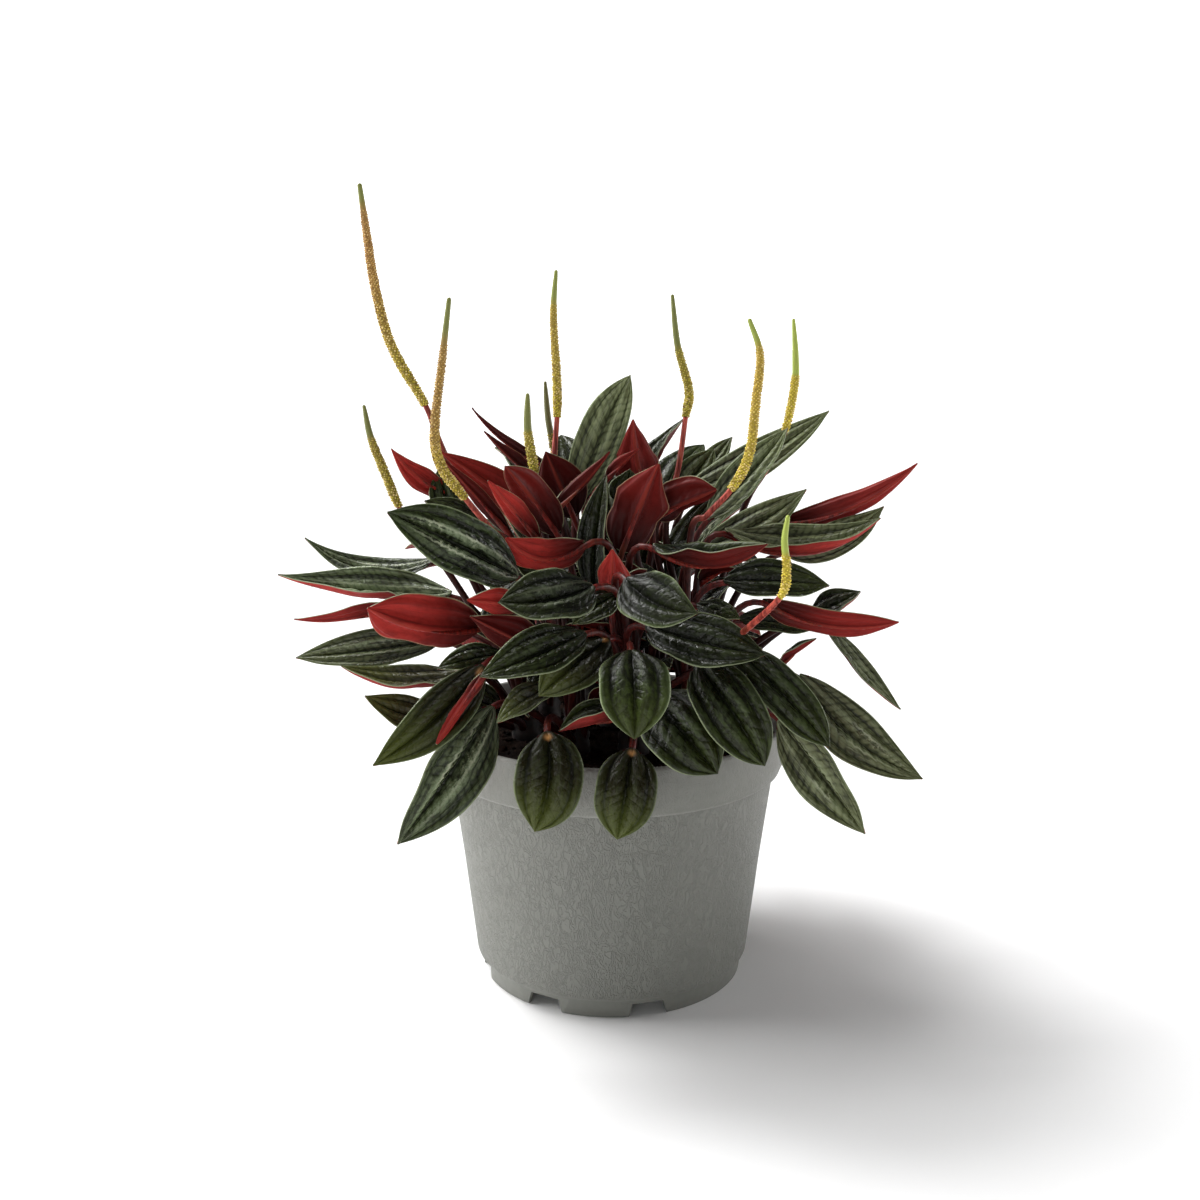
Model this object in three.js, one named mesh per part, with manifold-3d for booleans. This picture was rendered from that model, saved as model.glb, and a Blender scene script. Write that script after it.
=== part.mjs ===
// A ripple peperomia in its grey nursery pot: nine rosettes of ribbed leaves and ten flower spikes in peat.
// Millimetres, Z up. The pot stands on z = 0 with its axis on x = y = 0, and the plant's front faces -Y.
import * as THREE from "three";
import { mergeVertices } from "three/addons/utils/BufferGeometryUtils.js";
import Module from "manifold-3d";

const wasm = await Module();
wasm.setup();

// Driving dimensions.
const RIM_RADIUS = 61.5;
const RIM_INNER_RADIUS = 59.2;
const POT_HEIGHT = 93;
const RIM_BAND = 17;
const WALL_TOP_RADIUS = 57.4;
const WALL_MID_RADIUS = 53.4;
const WALL_MID_HEIGHT = 44;
const WALL_FOOT_RADIUS = 49.2;
const FOOT_RADIUS = 46.8;
const FOOT_HEIGHT = 7;
const FOOT_RING = 2.2;
const WALL = 1.8;
const FLOOR_BOTTOM = 4;
const POT_SIDES = 40;
const PAD_RADIUS = 14;
const PAD_SIDES = 24;
const NOTCHES = 8;
const NOTCH_WIDTH_FOOT = 14;
const NOTCH_WIDTH_TOP = 11;
const NOTCH_HEIGHT = 5.5;
const NOTCH_DEPTH = 15;
const NOTCH_TURN = 15;
const DRAINS = 4;
const DRAIN_RADIUS = 4;
const DRAIN_CIRCLE = 30;
const DRAIN_SIDES = 12;
const SOIL_LEVEL = 85;
const SOIL_HEAP = 3;
const SOIL_LUMPS = 0.7;
const SOIL_RINGS = 4;
const CLEAR = 0.3;
const CROWN_RADIUS = 7.5;
const CROWN_TOP_RADIUS = 5;
const CROWN_SHOULDER = 90;
const CROWN_TOP = 104;
const CROWN_FOOT = 74;
const CROWN_SIDES = 8;
const ROOT_DEPTH = 4.5;
const PETIOLE = 1.05;
const PETIOLE_TAPER = 0.3;
const PETIOLE_STEPS = 2;
const STALK_STEPS = 5;
const BLADE_THICKNESS = 0.9;
const SPIKE_RADIUS = 1.7;
const FLORET_RELIEF = 0.35;
const FLORET_STEP = 4.2;
const FLORET_SHARE = 0.7;
const SPIKE_TAPER = 0.6;
const SPIKE_SIDES = 5;

const UP = new THREE.Vector3(0, 0, 1);
const FRONT = new THREE.Vector3(0, -1, 0);

// The plant is laid out in a front elevation seen from this point. A place [x, z, y] is its x and z on the
// plane y = 0, moved along the line of sight to its own depth y.
const SIGHT = new THREE.Vector3(-4.3, -498, 240);

// Each rosette: where its crown stands in the soil; its leaves, one a row, as blade base x, z, y, blade tip
// x, z, y, width, turn, bend, sweep, cup; and its flower stalks with the spike that each one carries. The
// turn is the angle in degrees of the upper side away from the front, 90 facing up and 180 facing back. The
// bend is how far the midrib arches to the upper side, and the sweep how far it bows to the left of its way
// to the tip as seen from the front. The cup is how far the two halves fold together, in degrees.
const ROSETTES = [
  {
    name: "centre",
    crown: [0, 6],
    leaves: [
      [-14, 166, -12, -23, 187, -16, 18, 178, 0, 0, 25],
      [-2, 178, -16, 9, 188, -14, 9, 150, 0, 0, 50],
      [-11, 174, -4, 6, 213, 6, 20, 5, 3, 2, 15],
      [12, 170, -6, 7, 198, -12, 17, 185, 0, 1, 30],
      [12, 181, 22, 24, 198, 34, 13, 75, 0, 0, 35],
      [5, 169, -20, 6, 181, -24, 13, 10, 0, 0, 20],
    ],
    spikes: [
      {
        stalk: [[-18, 163, -4], [-20, 182, -4], [-19, 199, -4]],
        spike: [[-19, 212, -4], [-20, 233, -4], [-19, 248, -4]],
      },
      {
        stalk: [[-16, 160, 10], [-20, 174, 10], [-20, 186, 10]],
        spike: [[-22, 198, 10], [-23, 211, 10]],
      },
    ],
  },
  {
    name: "front",
    crown: [7, -26],
    leaves: [
      [4, 154, -36, 16, 183, -50, 21, 180, 3, 0, 25],
      [-6, 138, -38, -2, 179, -34, 13, 35, 2, 0, 40],
      [-11, 154, -48, -37, 157, -58, 12, 150, -1, 0, 60],
      [17, 153, -54, 54, 155, -66, 17, 90, -2, -4, 52],
      [15, 125, -68, 54, 115, -80, 17, 45, 2, -2, 15],
      [16, 98, -68, 38, 71, -86, 22, 12, 4, 0, 12],
      [7, 115, -82, 8, 84, -98, 21, 5, 4, 0, 10],
      [6, 141, -72, 30, 130, -88, 17, 45, 2, -3, 30],
      [-9, 139, -70, -40, 134, -84, 17, 48, 2, 3, 22],
      [-3, 120, -62, -26, 100, -74, 16, 20, 3, 0, 15],
      [-12, 122, -72, -47, 107, -88, 17, 42, 3, 2, 20],
      [3, 93, -58, -19, 87, -64, 15, 78, 1, 1, 60],
      [7, 78, -70, 2, 46, -78, 19, 2, 3, 0, 8],
      [0, 133, -50, 0, 153, -58, 13, 175, 0, 0, 45],
      [0, 136, -56, -14, 126, -64, 12, 40, 1, 0, 15],
      [31, 133, -54, 45, 128, -60, 9, 60, 0, 0, 20],
    ],
    spikes: [
      {
        stalk: [[31, 113, -80], [47, 124, -88], [59, 136, -92]],
        spike: [[61, 145, -92], [60, 156, -92], [61, 165, -92]],
      },
    ],
  },
  {
    name: "front_left",
    crown: [-13, -24],
    leaves: [
      [-45, 92, -50, -78, 44, -64, 23, -20, 2, 0, 32],
      [-36, 145, -60, -78, 166, -80, 19, 28, 2, 0, 20],
      [-27, 158, -44, -43, 177, -54, 11, 175, 0, 0, 25],
      [-20, 160, -34, -37, 182, -48, 20, 175, 2, 0, 30],
      [-20, 167, -30, -1, 187, -24, 9, 150, 0, -1, 50],
      [-22, 103, -56, -41, 90, -60, 11, 50, 2, 0, 15],
      [-23, 84, -70, -28, 49, -80, 21, 0, 3, 2, 8],
      [-32, 133, -50, -51, 135, -54, 10, 165, 0, 0, 20],
      [-25, 116, -46, -50, 129, -52, 15, 165, 0, 0, 25],
      [-20, 142, -40, -36, 151, -46, 11, 40, 0, 0, 20],
    ],
    spikes: [
      {
        stalk: [[-32, 149, -44], [-42, 160, -52], [-51, 171, -58]],
        spike: [[-59, 182, -62], [-61, 194, -62], [-58, 217, -60], [-55, 239, -60]],
      },
      {
        stalk: [[-23, 156, -26], [-27, 169, -30], [-27, 180, -32]],
        spike: [[-29, 194, -32], [-29, 207, -32]],
      },
    ],
  },
  {
    name: "left_front",
    crown: [-30, -8],
    leaves: [
      [-61, 137, -8, -117, 144, 2, 21, 68, -3, 1, 60],
      [-49, 125, -42, -86, 132, -62, 22, 160, -2, 2, 30],
      [-64, 120, -12, -112, 114, -14, 15, 40, 1, 1, 20],
      [-55, 108, -28, -96, 111, -30, 15, 72, 0, 5, 40],
      [-62, 91, -18, -88, 100, -22, 14, 50, 0, 2, 25],
      [-48, 108, -62, -86, 74, -84, 16, 8, 2, 2, 15],
      [-46, 107, -68, -63, 82, -80, 6, 175, 1, 0, 50],
      [-40, 94, -34, -57, 102, -40, 13, 50, 1, 0, 20],
      [-56, 163, -8, -60, 181, -2, 12, 20, 0, 0, 20],
      [-56, 172, -2, -76, 188, -14, 12, 185, 0, 2, 20],
      [-47, 163, -30, -65, 170, -34, 9, 40, 0, 0, 20],
      [-28, 163, -18, -59, 187, -26, 17, 165, 2, 0, 30],
      [-37, 160, -34, -59, 185, -36, 9, 170, 0, 0, 30],
      [-40, 115, -38, -62, 110, -44, 11, 50, 1, 0, 20],
    ],
    spikes: [
      {
        stalk: [[-49, 163, -12], [-60, 192, -18], [-64, 203, -20]],
        spike: [[-75, 223, -22], [-80, 243, -22], [-82, 259, -22], [-84, 276, -22]],
      },
      {
        stalk: [[-60, 149, -16], [-69, 158, -20], [-74, 168, -22]],
        spike: [[-79, 181, -22], [-83, 192, -22], [-85, 203, -22]],
      },
    ],
  },
  {
    name: "left_back",
    crown: [-24, 14],
    leaves: [
      [-65, 148, 28, -107, 157, 40, 14, 62, -3, 5, 20],
      [-75, 134, 12, -112, 128, 8, 11, 125, -2, 1, 30],
      [-22, 182, 22, -48, 202, 30, 10, 130, -1, 2, 35],
      [-25, 176, 4, -44, 194, 8, 11, 150, -1, 0, 30],
    ],
    spikes: [],
  },
  {
    name: "back_left",
    crown: [-8, 30],
    leaves: [],
    spikes: [],
  },
  {
    name: "back_right",
    crown: [16, 28],
    leaves: [
      [22, 170, 20, 35, 188, 28, 14, 20, 0, 0, 20],
      [30, 178, 38, 41, 192, 46, 9, 30, 0, 0, 20],
    ],
    spikes: [],
  },
  {
    name: "right",
    crown: [29, 6],
    leaves: [
      [28, 174, 4, 74, 201, 12, 14, 30, -1, -2, 15],
      [33, 154, -6, 67, 174, -2, 13, 30, 0, -2, 15],
      [60, 162, 6, 105, 183, 2, 12, 168, -2, -4, 25],
      [62, 152, -6, 94, 168, 4, 13, 20, -2, -3, 20],
      [71, 130, -14, 87, 138, -14, 13, 60, 0, -1, 40],
      [78, 123, -14, 103, 95, -20, 9, 50, -2, 0, 35],
    ],
    spikes: [
      {
        stalk: [[15, 156, 2], [22, 178, 0], [25, 199, 0]],
        spike: [[26, 208, 0], [22, 223, 0], [20, 240, 0]],
      },
      {
        stalk: [[44, 163, 4], [53, 181, 0], [59, 194, -2]],
        spike: [[62, 210, -2], [62, 220, -2], [61, 232, -2]],
      },
    ],
  },
  {
    name: "front_right",
    crown: [25, -16],
    leaves: [
      [15, 165, -24, 36, 174, -34, 16, 150, 0, 0, 50],
      [35, 166, -12, 60, 195, -10, 15, 40, 0, -1, 30],
      [43, 158, -22, 93, 164, -14, 22, 74, -2, -7, 50],
      [42, 142, -48, 76, 140, -42, 16, 50, 1, 0, 15],
      [56, 133, -38, 101, 127, -34, 12, 155, 1, -4, 25],
      [47, 128, -22, 74, 125, -18, 11, 50, 0, 0, 20],
      [59, 112, -30, 72, 121, -34, 8, 100, 0, 0, 35],
      [69, 104, -34, 112, 69, -46, 16, 30, 1, -4, 12],
      [62, 88, -54, 92, 48, -68, 18, -20, 2, 1, 32],
      [46, 115, -70, 78, 81, -86, 17, 22, 3, 0, 15],
      [32, 110, -72, 55, 74, -88, 21, 12, 4, 0, 12],
    ],
    spikes: [
      {
        stalk: [[27, 156, -40], [33, 165, -44], [41, 174, -46]],
        spike: [[47, 186, -48], [49, 205, -48], [50, 220, -48], [46, 232, -48]],
      },
    ],
  },
];

// The back of the mound, filled by rule: tiers of leaves round the centre, dealt to the rosette they face.
// Headings and rises are in degrees, and each leaf runs from its base's rise and radius to its tip's.
const MOUND_CENTRE = new THREE.Vector3(0, 4, 112);
const BACK_TIERS = [
  { count: 7, from: 24, to: 156, baseRadius: 66, baseRise: 8, tipRadius: 112, tipRise: -14, width: 20 },
  { count: 6, from: 30, to: 150, baseRadius: 60, baseRise: 34, tipRadius: 100, tipRise: 20, width: 20 },
  { count: 4, from: 52, to: 140, baseRadius: 62, baseRise: 60, tipRadius: 94, tipRise: 52, width: 17 },
  { count: 7, from: 12, to: 168, baseRadius: 38, baseRise: 46, tipRadius: 71, tipRise: 50, width: 16 },
];
const BACK_SHAPE = { turn: 0, bend: 3, sweep: 0, cup: 20, narrow: true };
const BACK_SCATTER = 5;
const BACK_SEED = 7;
const BACK_CROWNS = ["right", "back_right", "back_left", "left_back"];

// Numbers from 0 to 1 in a fixed order.
function seeded(seed) {
  let state = seed;
  return () => {
    state = (state * 16807) % 2147483647;
    return state / 2147483647;
  };
}

function colour(hex, roughness) {
  return new THREE.MeshStandardMaterial({ color: hex, roughness });
}

// A place in the front elevation, at its own depth.
function seen([x, z, y]) {
  const onPlane = new THREE.Vector3(x, 0, z);
  return SIGHT.clone().lerp(onPlane, (y - SIGHT.y) / -SIGHT.y);
}

// Manifold solids.

function toSolid(geometry) {
  geometry.deleteAttribute("normal");
  geometry.deleteAttribute("uv");
  const merged = mergeVertices(geometry, 1e-3);
  return new wasm.Manifold(
    new wasm.Mesh({
      numProp: 3,
      vertProperties: merged.attributes.position.array,
      triVerts: new Uint32Array(merged.index.array),
    }),
  );
}

function toGeometry(solid) {
  const mesh = solid.getMesh();
  return new THREE.BufferGeometry()
    .setAttribute("position", new THREE.BufferAttribute(mesh.vertProperties, 3))
    .setIndex(new THREE.BufferAttribute(mesh.triVerts, 1));
}

function node(name, solid, material) {
  const mesh = new THREE.Mesh(toGeometry(solid), material);
  mesh.name = name;
  return mesh;
}

function upright(radius, bottom, top, sides, x, y) {
  const cylinder = new THREE.CylinderGeometry(radius, radius, top - bottom, sides);
  return toSolid(cylinder.rotateX(Math.PI / 2).translate(x, y, (bottom + top) / 2));
}

// A closed skin over rings of points. A ring that a wider one follows is joined to it by a fan at each of
// its corners, and both ends close on a middle point.
class Skin {
  constructor() {
    this.points = [];
    this.faces = [];
  }

  add(point) {
    this.points.push(point);
    return this.points.length - 1;
  }

  ring(points) {
    return points.map((point) => this.add(point));
  }

  // Quads between two rings of the same count, split the other way from the ring's corner number turnover.
  band(near, far, turnover = Infinity) {
    near.forEach((_, k) => {
      const next = (k + 1) % near.length;
      const [a, b, c, d] = [near[k], near[next], far[next], far[k]];
      if (k < turnover) this.faces.push([a, b, c], [a, c, d]);
      else this.faces.push([a, b, d], [b, c, d]);
    });
  }

  cap(ring, point, isEnd) {
    const tip = this.add(point);
    ring.forEach((corner, k) => {
      const next = ring[(k + 1) % ring.length];
      this.faces.push(isEnd ? [corner, next, tip] : [next, corner, tip]);
    });
  }

  // A ring of four corners opens into a blade's ring, whose first half lies on its upper side.
  open(square, blade) {
    const columns = blade.length / 2;
    const middle = (columns - 1) / 2;
    for (const [start, left, right] of [[0, 0, 1], [columns, 2, 3]]) {
      for (let i = 0; i < columns - 1; i++) {
        const corner = square[i < middle ? left : right];
        this.faces.push([corner, blade[start + i + 1], blade[start + i]]);
      }
      this.faces.push([square[left], square[right], blade[start + middle]]);
    }
    for (const [upper, lower, edge] of [[1, 2, columns], [3, 0, 0]]) {
      const before = blade[(edge + blade.length - 1) % blade.length];
      this.faces.push([square[upper], square[lower], blade[edge]], [square[upper], blade[edge], before]);
    }
  }

  solid() {
    return new wasm.Manifold(
      new wasm.Mesh({
        numProp: 3,
        vertProperties: new Float32Array(this.points.flatMap((p) => p.toArray())),
        triVerts: new Uint32Array(this.faces.flat()),
      }),
    );
  }
}

// Square or round rings along a curve, each turned with it from the last one, whose frame is given.
function ringsAlong(curve, steps, corners, radiusAt, endSide) {
  const rings = [];
  let side = endSide.clone();
  let lastTangent = curve.getTangent(1);
  for (let step = steps; step >= 0; step--) {
    const t = step / steps;
    const tangent = curve.getTangent(t);
    side.applyQuaternion(new THREE.Quaternion().setFromUnitVectors(lastTangent, tangent));
    lastTangent = tangent;
    const lift = new THREE.Vector3().crossVectors(side, tangent);
    const centre = curve.getPoint(t);
    const radius = radiusAt(t);
    rings.unshift(
      corners.map(([across, up]) =>
        centre
          .clone()
          .addScaledVector(side, across * radius)
          .addScaledVector(lift, up * radius),
      ),
    );
  }
  return rings;
}

function circle(sides) {
  return Array.from({ length: sides }, (_, k) => {
    const angle = (-k / sides) * 2 * Math.PI;
    return [Math.cos(angle), Math.sin(angle)];
  });
}

const SQUARE = [
  [-1, 1],
  [1, 1],
  [1, -1],
  [-1, -1],
];

// Any direction square to the one given.
function squareTo(direction) {
  return new THREE.Vector3().crossVectors(direction, FRONT).normalize();
}

function tube(curve, steps, corners, radiusAt) {
  const skin = new Skin();
  const rings = ringsAlong(curve, steps, corners, radiusAt, squareTo(curve.getTangent(1)));
  const indices = rings.map((ring) => skin.ring(ring));
  skin.cap(indices[0], curve.getPoint(0), false);
  for (let k = 1; k < indices.length; k++) skin.band(indices[k - 1], indices[k]);
  skin.cap(indices.at(-1), curve.getPoint(1), true);
  return skin.solid();
}

// The leaf blade.

// Across a half, from the midrib at 0 to the edge at 1: the height of the sunken veins and raised ribs, as
// a share of the half's width there. A narrow blade has fewer.
const RIBS_WIDE = [
  [0, -0.08],
  [0.34, 0.11],
  [0.66, -0.04],
  [1, 0.02],
];
const RIBS_NARROW = [
  [0, -0.08],
  [0.5, 0.09],
  [1, 0.02],
];
const NARROW = 14;
const ROWS_WIDE = [0.05, 0.24, 0.5, 0.78];
const ROWS_NARROW = [0.05, 0.36, 0.74];
const WIDEST = 0.42;
const MARGIN_WAVE = 0.07;
const MARGIN_WAVES = 11;
const OPENING = 0.25;

// A share of the half width along the blade: round at the base, pointed at the tip.
function outline(t) {
  if (t < WIDEST) return (1 - ((WIDEST - t) / WIDEST) ** 2.2) ** 0.75;
  return 1 - ((t - WIDEST) / (1 - WIDEST)) ** 2.1;
}

class Blade {
  constructor(base, tip, facing, { width, turn, bend, sweep, cup, narrow }) {
    this.base = base;
    this.length = base.distanceTo(tip);
    this.axis = tip.clone().sub(base).normalize();
    const outward = facing.clone().addScaledVector(this.axis, -facing.dot(this.axis)).normalize();
    const leftward = new THREE.Vector3().crossVectors(outward, this.axis);
    const across = leftward.clone().negate();
    if (across.z < 0) across.negate();
    const angle = THREE.MathUtils.degToRad(turn);
    this.normal = outward.multiplyScalar(Math.cos(angle)).addScaledVector(across, Math.sin(angle));
    this.width = width;
    this.arch = this.normal.clone().multiplyScalar(bend).addScaledVector(leftward, sweep);
    const ribs = narrow ? RIBS_NARROW : RIBS_WIDE;
    this.rows = narrow ? ROWS_NARROW : ROWS_WIDE;
    this.columns = [...ribs.slice(1).reverse().map(([u, rib]) => [-u, rib]), ...ribs];
    this.cup = THREE.MathUtils.degToRad(cup);
  }

  midrib(t) {
    return this.base
      .clone()
      .addScaledVector(this.axis, this.length * t)
      .addScaledVector(this.arch, 4 * t * (1 - t));
  }

  alongAtBase() {
    return this.axis.clone().multiplyScalar(this.length).addScaledVector(this.arch, 4).normalize();
  }

  // The width direction and the normal where the midrib has bent.
  frameAt(t) {
    const along = this.axis
      .clone()
      .multiplyScalar(this.length)
      .addScaledVector(this.arch, 4 * (1 - 2 * t))
      .normalize();
    const normal = this.normal.clone().addScaledVector(along, -this.normal.dot(along)).normalize();
    return { normal, side: new THREE.Vector3().crossVectors(along, normal) };
  }

  // A point on the sheet at u across (-1 to 1) and t along, raised by the rib and then by the lift.
  point(u, t, rib, lift) {
    const half = (this.width / 2) * outline(t);
    const open = Math.min(1, t / OPENING);
    const fold = this.cup * 0.5 * open;
    const curl = Math.max(this.cup * 0.7 * open, 1e-3);
    const share = Math.abs(u);
    const slope = fold + curl * share;
    const reach = (half * (Math.sin(slope) - Math.sin(fold))) / curl;
    const rise = (half * (Math.cos(fold) - Math.cos(slope))) / curl;
    const sign = Math.sign(u);
    const wave = MARGIN_WAVE * share * share * Math.sin(MARGIN_WAVES * t + this.length + 2 * sign);
    const raised = half * (rib + wave) + lift;
    const { normal, side } = this.frameAt(t);
    return this.midrib(t)
      .addScaledVector(side, sign * (reach - raised * Math.sin(slope)))
      .addScaledVector(normal, rise + raised * Math.cos(slope));
  }

  ring(t) {
    const lift = BLADE_THICKNESS / 2;
    const upper = this.columns.map(([u, rib]) => this.point(u, t, rib, lift));
    const lower = this.columns.map(([u, rib]) => this.point(u, t, rib, -lift));
    return [...upper, ...lower.reverse()];
  }
}

// A leaf stalk rises a little above the straight way from its crown, and meets the blade along the blade's
// own axis. The three values are shares of that way's length.
const STALK_RISE_AT = 0.33;
const STALK_RISE = 0.12;
const STALK_ARRIVAL = 0.2;

function petioleCurve(start, blade) {
  const reach = blade.base.clone().sub(start);
  const length = reach.length();
  const rising = start.clone().addScaledVector(reach, STALK_RISE_AT).addScaledVector(UP, STALK_RISE * length);
  const arriving = blade.base.clone().addScaledVector(blade.alongAtBase(), -STALK_ARRIVAL * length);
  return new THREE.CubicBezierCurve3(start, rising, arriving, blade.base.clone());
}

function leafSolid(root, blade) {
  const skin = new Skin();
  const curve = petioleCurve(root, blade);
  const thickness = (t) => PETIOLE * (1 + PETIOLE_TAPER * (0.5 - t));
  const squares = ringsAlong(curve, PETIOLE_STEPS, SQUARE, thickness, blade.frameAt(0).side);
  const stalk = squares.map((ring) => skin.ring(ring));
  skin.cap(stalk[0], curve.getPoint(0), false);
  for (let k = 1; k < stalk.length; k++) skin.band(stalk[k - 1], stalk[k]);
  const rows = blade.rows.map((t) => skin.ring(blade.ring(t)));
  skin.open(stalk.at(-1), rows[0]);
  for (let k = 1; k < rows.length; k++) skin.band(rows[k - 1], rows[k], blade.columns.length);
  skin.cap(rows.at(-1), blade.midrib(1), true);
  return skin.solid();
}

function frontBlade([bx, bz, by, tx, tz, ty, width, turn, bend, sweep, cup]) {
  const shape = { width, turn, bend, sweep, cup, narrow: width < NARROW };
  return new Blade(seen([bx, bz, by]), seen([tx, tz, ty]), FRONT, shape);
}

// A point of the mound at a heading, a height angle and a radius.
function onMound(heading, rise, radius) {
  const level = radius * Math.cos(rise);
  return MOUND_CENTRE.clone().add(
    new THREE.Vector3(level * Math.cos(heading), level * Math.sin(heading), radius * Math.sin(rise)),
  );
}

function backBlades() {
  const random = seeded(BACK_SEED);
  const scatter = () => (random() - 0.5) * 2 * BACK_SCATTER;
  const blades = [];
  for (const tier of BACK_TIERS) {
    for (let k = 0; k < tier.count; k++) {
      const spread = (tier.to - tier.from) / (tier.count - 1);
      const heading = THREE.MathUtils.degToRad(tier.from + k * spread + scatter() / 2);
      const [baseRise, tipRise] = [tier.baseRise, tier.tipRise].map((rise) =>
        THREE.MathUtils.degToRad(rise + scatter() / 2),
      );
      const base = onMound(heading, baseRise, tier.baseRadius);
      const tip = onMound(heading, tipRise, tier.tipRadius + scatter());
      const owner = BACK_CROWNS[Math.floor((heading / Math.PI) * BACK_CROWNS.length)];
      const shape = { ...BACK_SHAPE, width: tier.width + scatter() / 3 };
      blades.push({ owner, blade: new Blade(base, tip, UP, shape) });
    }
  }
  return blades;
}

// Flower spikes.

// Part of a curve, as a curve.
class Stretch extends THREE.Curve {
  constructor(whole, from, to) {
    super();
    this.whole = whole;
    this.from = from;
    this.to = to;
  }

  getPoint(t) {
    return this.whole.getPoint(this.from + (this.to - this.from) * t);
  }
}

// A flower stalk and its spike run on as one line, from the crown to the spike's tip.
function flowerCurves(crown, { stalk, spike }) {
  const points = [crown, ...stalk.map(seen), ...spike.map(seen)];
  const whole = new THREE.CatmullRomCurve3(points, false, "catmullrom");
  const joint = stalk.length / (points.length - 1);
  const gap = (1.2 * CLEAR) / points[stalk.length].distanceTo(points[stalk.length + 1]) / (points.length - 1);
  return { stalkCurve: new Stretch(whole, 0, joint), spikeCurve: new Stretch(whole, joint + gap, 1) };
}

// A spike swells from its stalk, is knobbly with florets for two thirds, and tapers smooth to its tip.
function spikeSolid(crown, flower) {
  const { spikeCurve } = flowerCurves(crown, flower);
  const steps = Math.max(6, 2 * Math.round(spikeCurve.getLength() / FLORET_STEP / 2));
  const radiusAt = (t) => {
    const hollow = Math.round(t * steps) % 2 === 1 && t < FLORET_SHARE ? FLORET_RELIEF : 0;
    const swelling = 0.75 + 0.25 * Math.min(1, t * 8);
    return SPIKE_RADIUS * (1 - SPIKE_TAPER * t ** 3) * swelling - hollow;
  };
  return tube(spikeCurve, steps, circle(SPIKE_SIDES), radiusAt);
}

// A crown stands in the soil and tapers above it.
function crownSolid([x, y]) {
  const height = CROWN_TOP - CROWN_SHOULDER;
  const cone = new THREE.CylinderGeometry(CROWN_TOP_RADIUS, CROWN_RADIUS, height, CROWN_SIDES);
  cone.rotateX(Math.PI / 2).translate(x, y, CROWN_SHOULDER + height / 2);
  return upright(CROWN_RADIUS, CROWN_FOOT, CROWN_SHOULDER, CROWN_SIDES, x, y).add(toSolid(cone));
}

function crownTop({ crown: [x, y] }) {
  return new THREE.Vector3(x, y, CROWN_TOP - 1);
}

// Where a leaf stalk starts: the lowest leaves low on the crown's flank, the highest near its top.
function rootPoint({ crown: [x, y] }, blade, rank) {
  const heading = Math.atan2(blade.base.y - y, blade.base.x - x);
  const out = (CROWN_RADIUS - ROOT_DEPTH) * (1 - rank);
  const height = CROWN_SHOULDER + (CROWN_TOP - 1 - CROWN_SHOULDER) * rank;
  return new THREE.Vector3(x + out * Math.cos(heading), y + out * Math.sin(heading), height);
}

// A rosette's leaves, each with its blade and the point of the crown that it grows from.
function rootedBlades(rosette, backs) {
  const blades = [...rosette.leaves.map(frontBlade), ...backs];
  blades.sort((one, other) => one.base.z - other.base.z);
  return blades.map((blade, k) => ({ blade, root: rootPoint(rosette, blade, (k + 0.5) / blades.length) }));
}

function rosetteSolid(rosette, backs) {
  const leaves = rootedBlades(rosette, backs).map(({ root, blade }) => leafSolid(root, blade));
  const stalks = rosette.spikes.map((flower) =>
    tube(flowerCurves(crownTop(rosette), flower).stalkCurve, STALK_STEPS, SQUARE, () => PETIOLE),
  );
  return [...leaves, ...stalks].reduce((whole, piece) => whole.add(piece), crownSolid(rosette.crown));
}

// The pot.

function lathe(profile, sides) {
  const points = profile.map(([radius, height]) => new THREE.Vector2(radius, height));
  return toSolid(new THREE.LatheGeometry(points, sides).rotateX(Math.PI / 2));
}

// The outside from the foot up, the lip, and the inside down to the floor.
const BAND_BOTTOM = POT_HEIGHT - RIM_BAND;
const POT_PROFILE = [
  [0, FLOOR_BOTTOM],
  [FOOT_RADIUS - FOOT_RING, FLOOR_BOTTOM],
  [FOOT_RADIUS - FOOT_RING, 0],
  [FOOT_RADIUS, 0],
  [FOOT_RADIUS + 0.7, FOOT_HEIGHT - 0.8],
  [WALL_FOOT_RADIUS, FOOT_HEIGHT + 0.8],
  [WALL_MID_RADIUS, WALL_MID_HEIGHT],
  [WALL_TOP_RADIUS, BAND_BOTTOM - 2],
  [WALL_TOP_RADIUS, BAND_BOTTOM],
  [WALL_TOP_RADIUS + 1.4, BAND_BOTTOM + 0.2],
  [RIM_RADIUS - 0.7, BAND_BOTTOM + 2],
  [RIM_RADIUS, BAND_BOTTOM + 4.5],
  [RIM_RADIUS, POT_HEIGHT - 1],
  [RIM_RADIUS - 0.7, POT_HEIGHT],
  [RIM_INNER_RADIUS + 0.5, POT_HEIGHT],
  [RIM_INNER_RADIUS, POT_HEIGHT - 0.8],
  [RIM_INNER_RADIUS, BAND_BOTTOM + 4],
  [WALL_TOP_RADIUS - WALL, BAND_BOTTOM + 1],
  [WALL_MID_RADIUS - WALL, WALL_MID_HEIGHT],
  [WALL_FOOT_RADIUS - WALL - 1, FLOOR_BOTTOM + WALL + 1.5],
  [WALL_FOOT_RADIUS - WALL - 3, FLOOR_BOTTOM + WALL],
  [0, FLOOR_BOTTOM + WALL],
];

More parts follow.
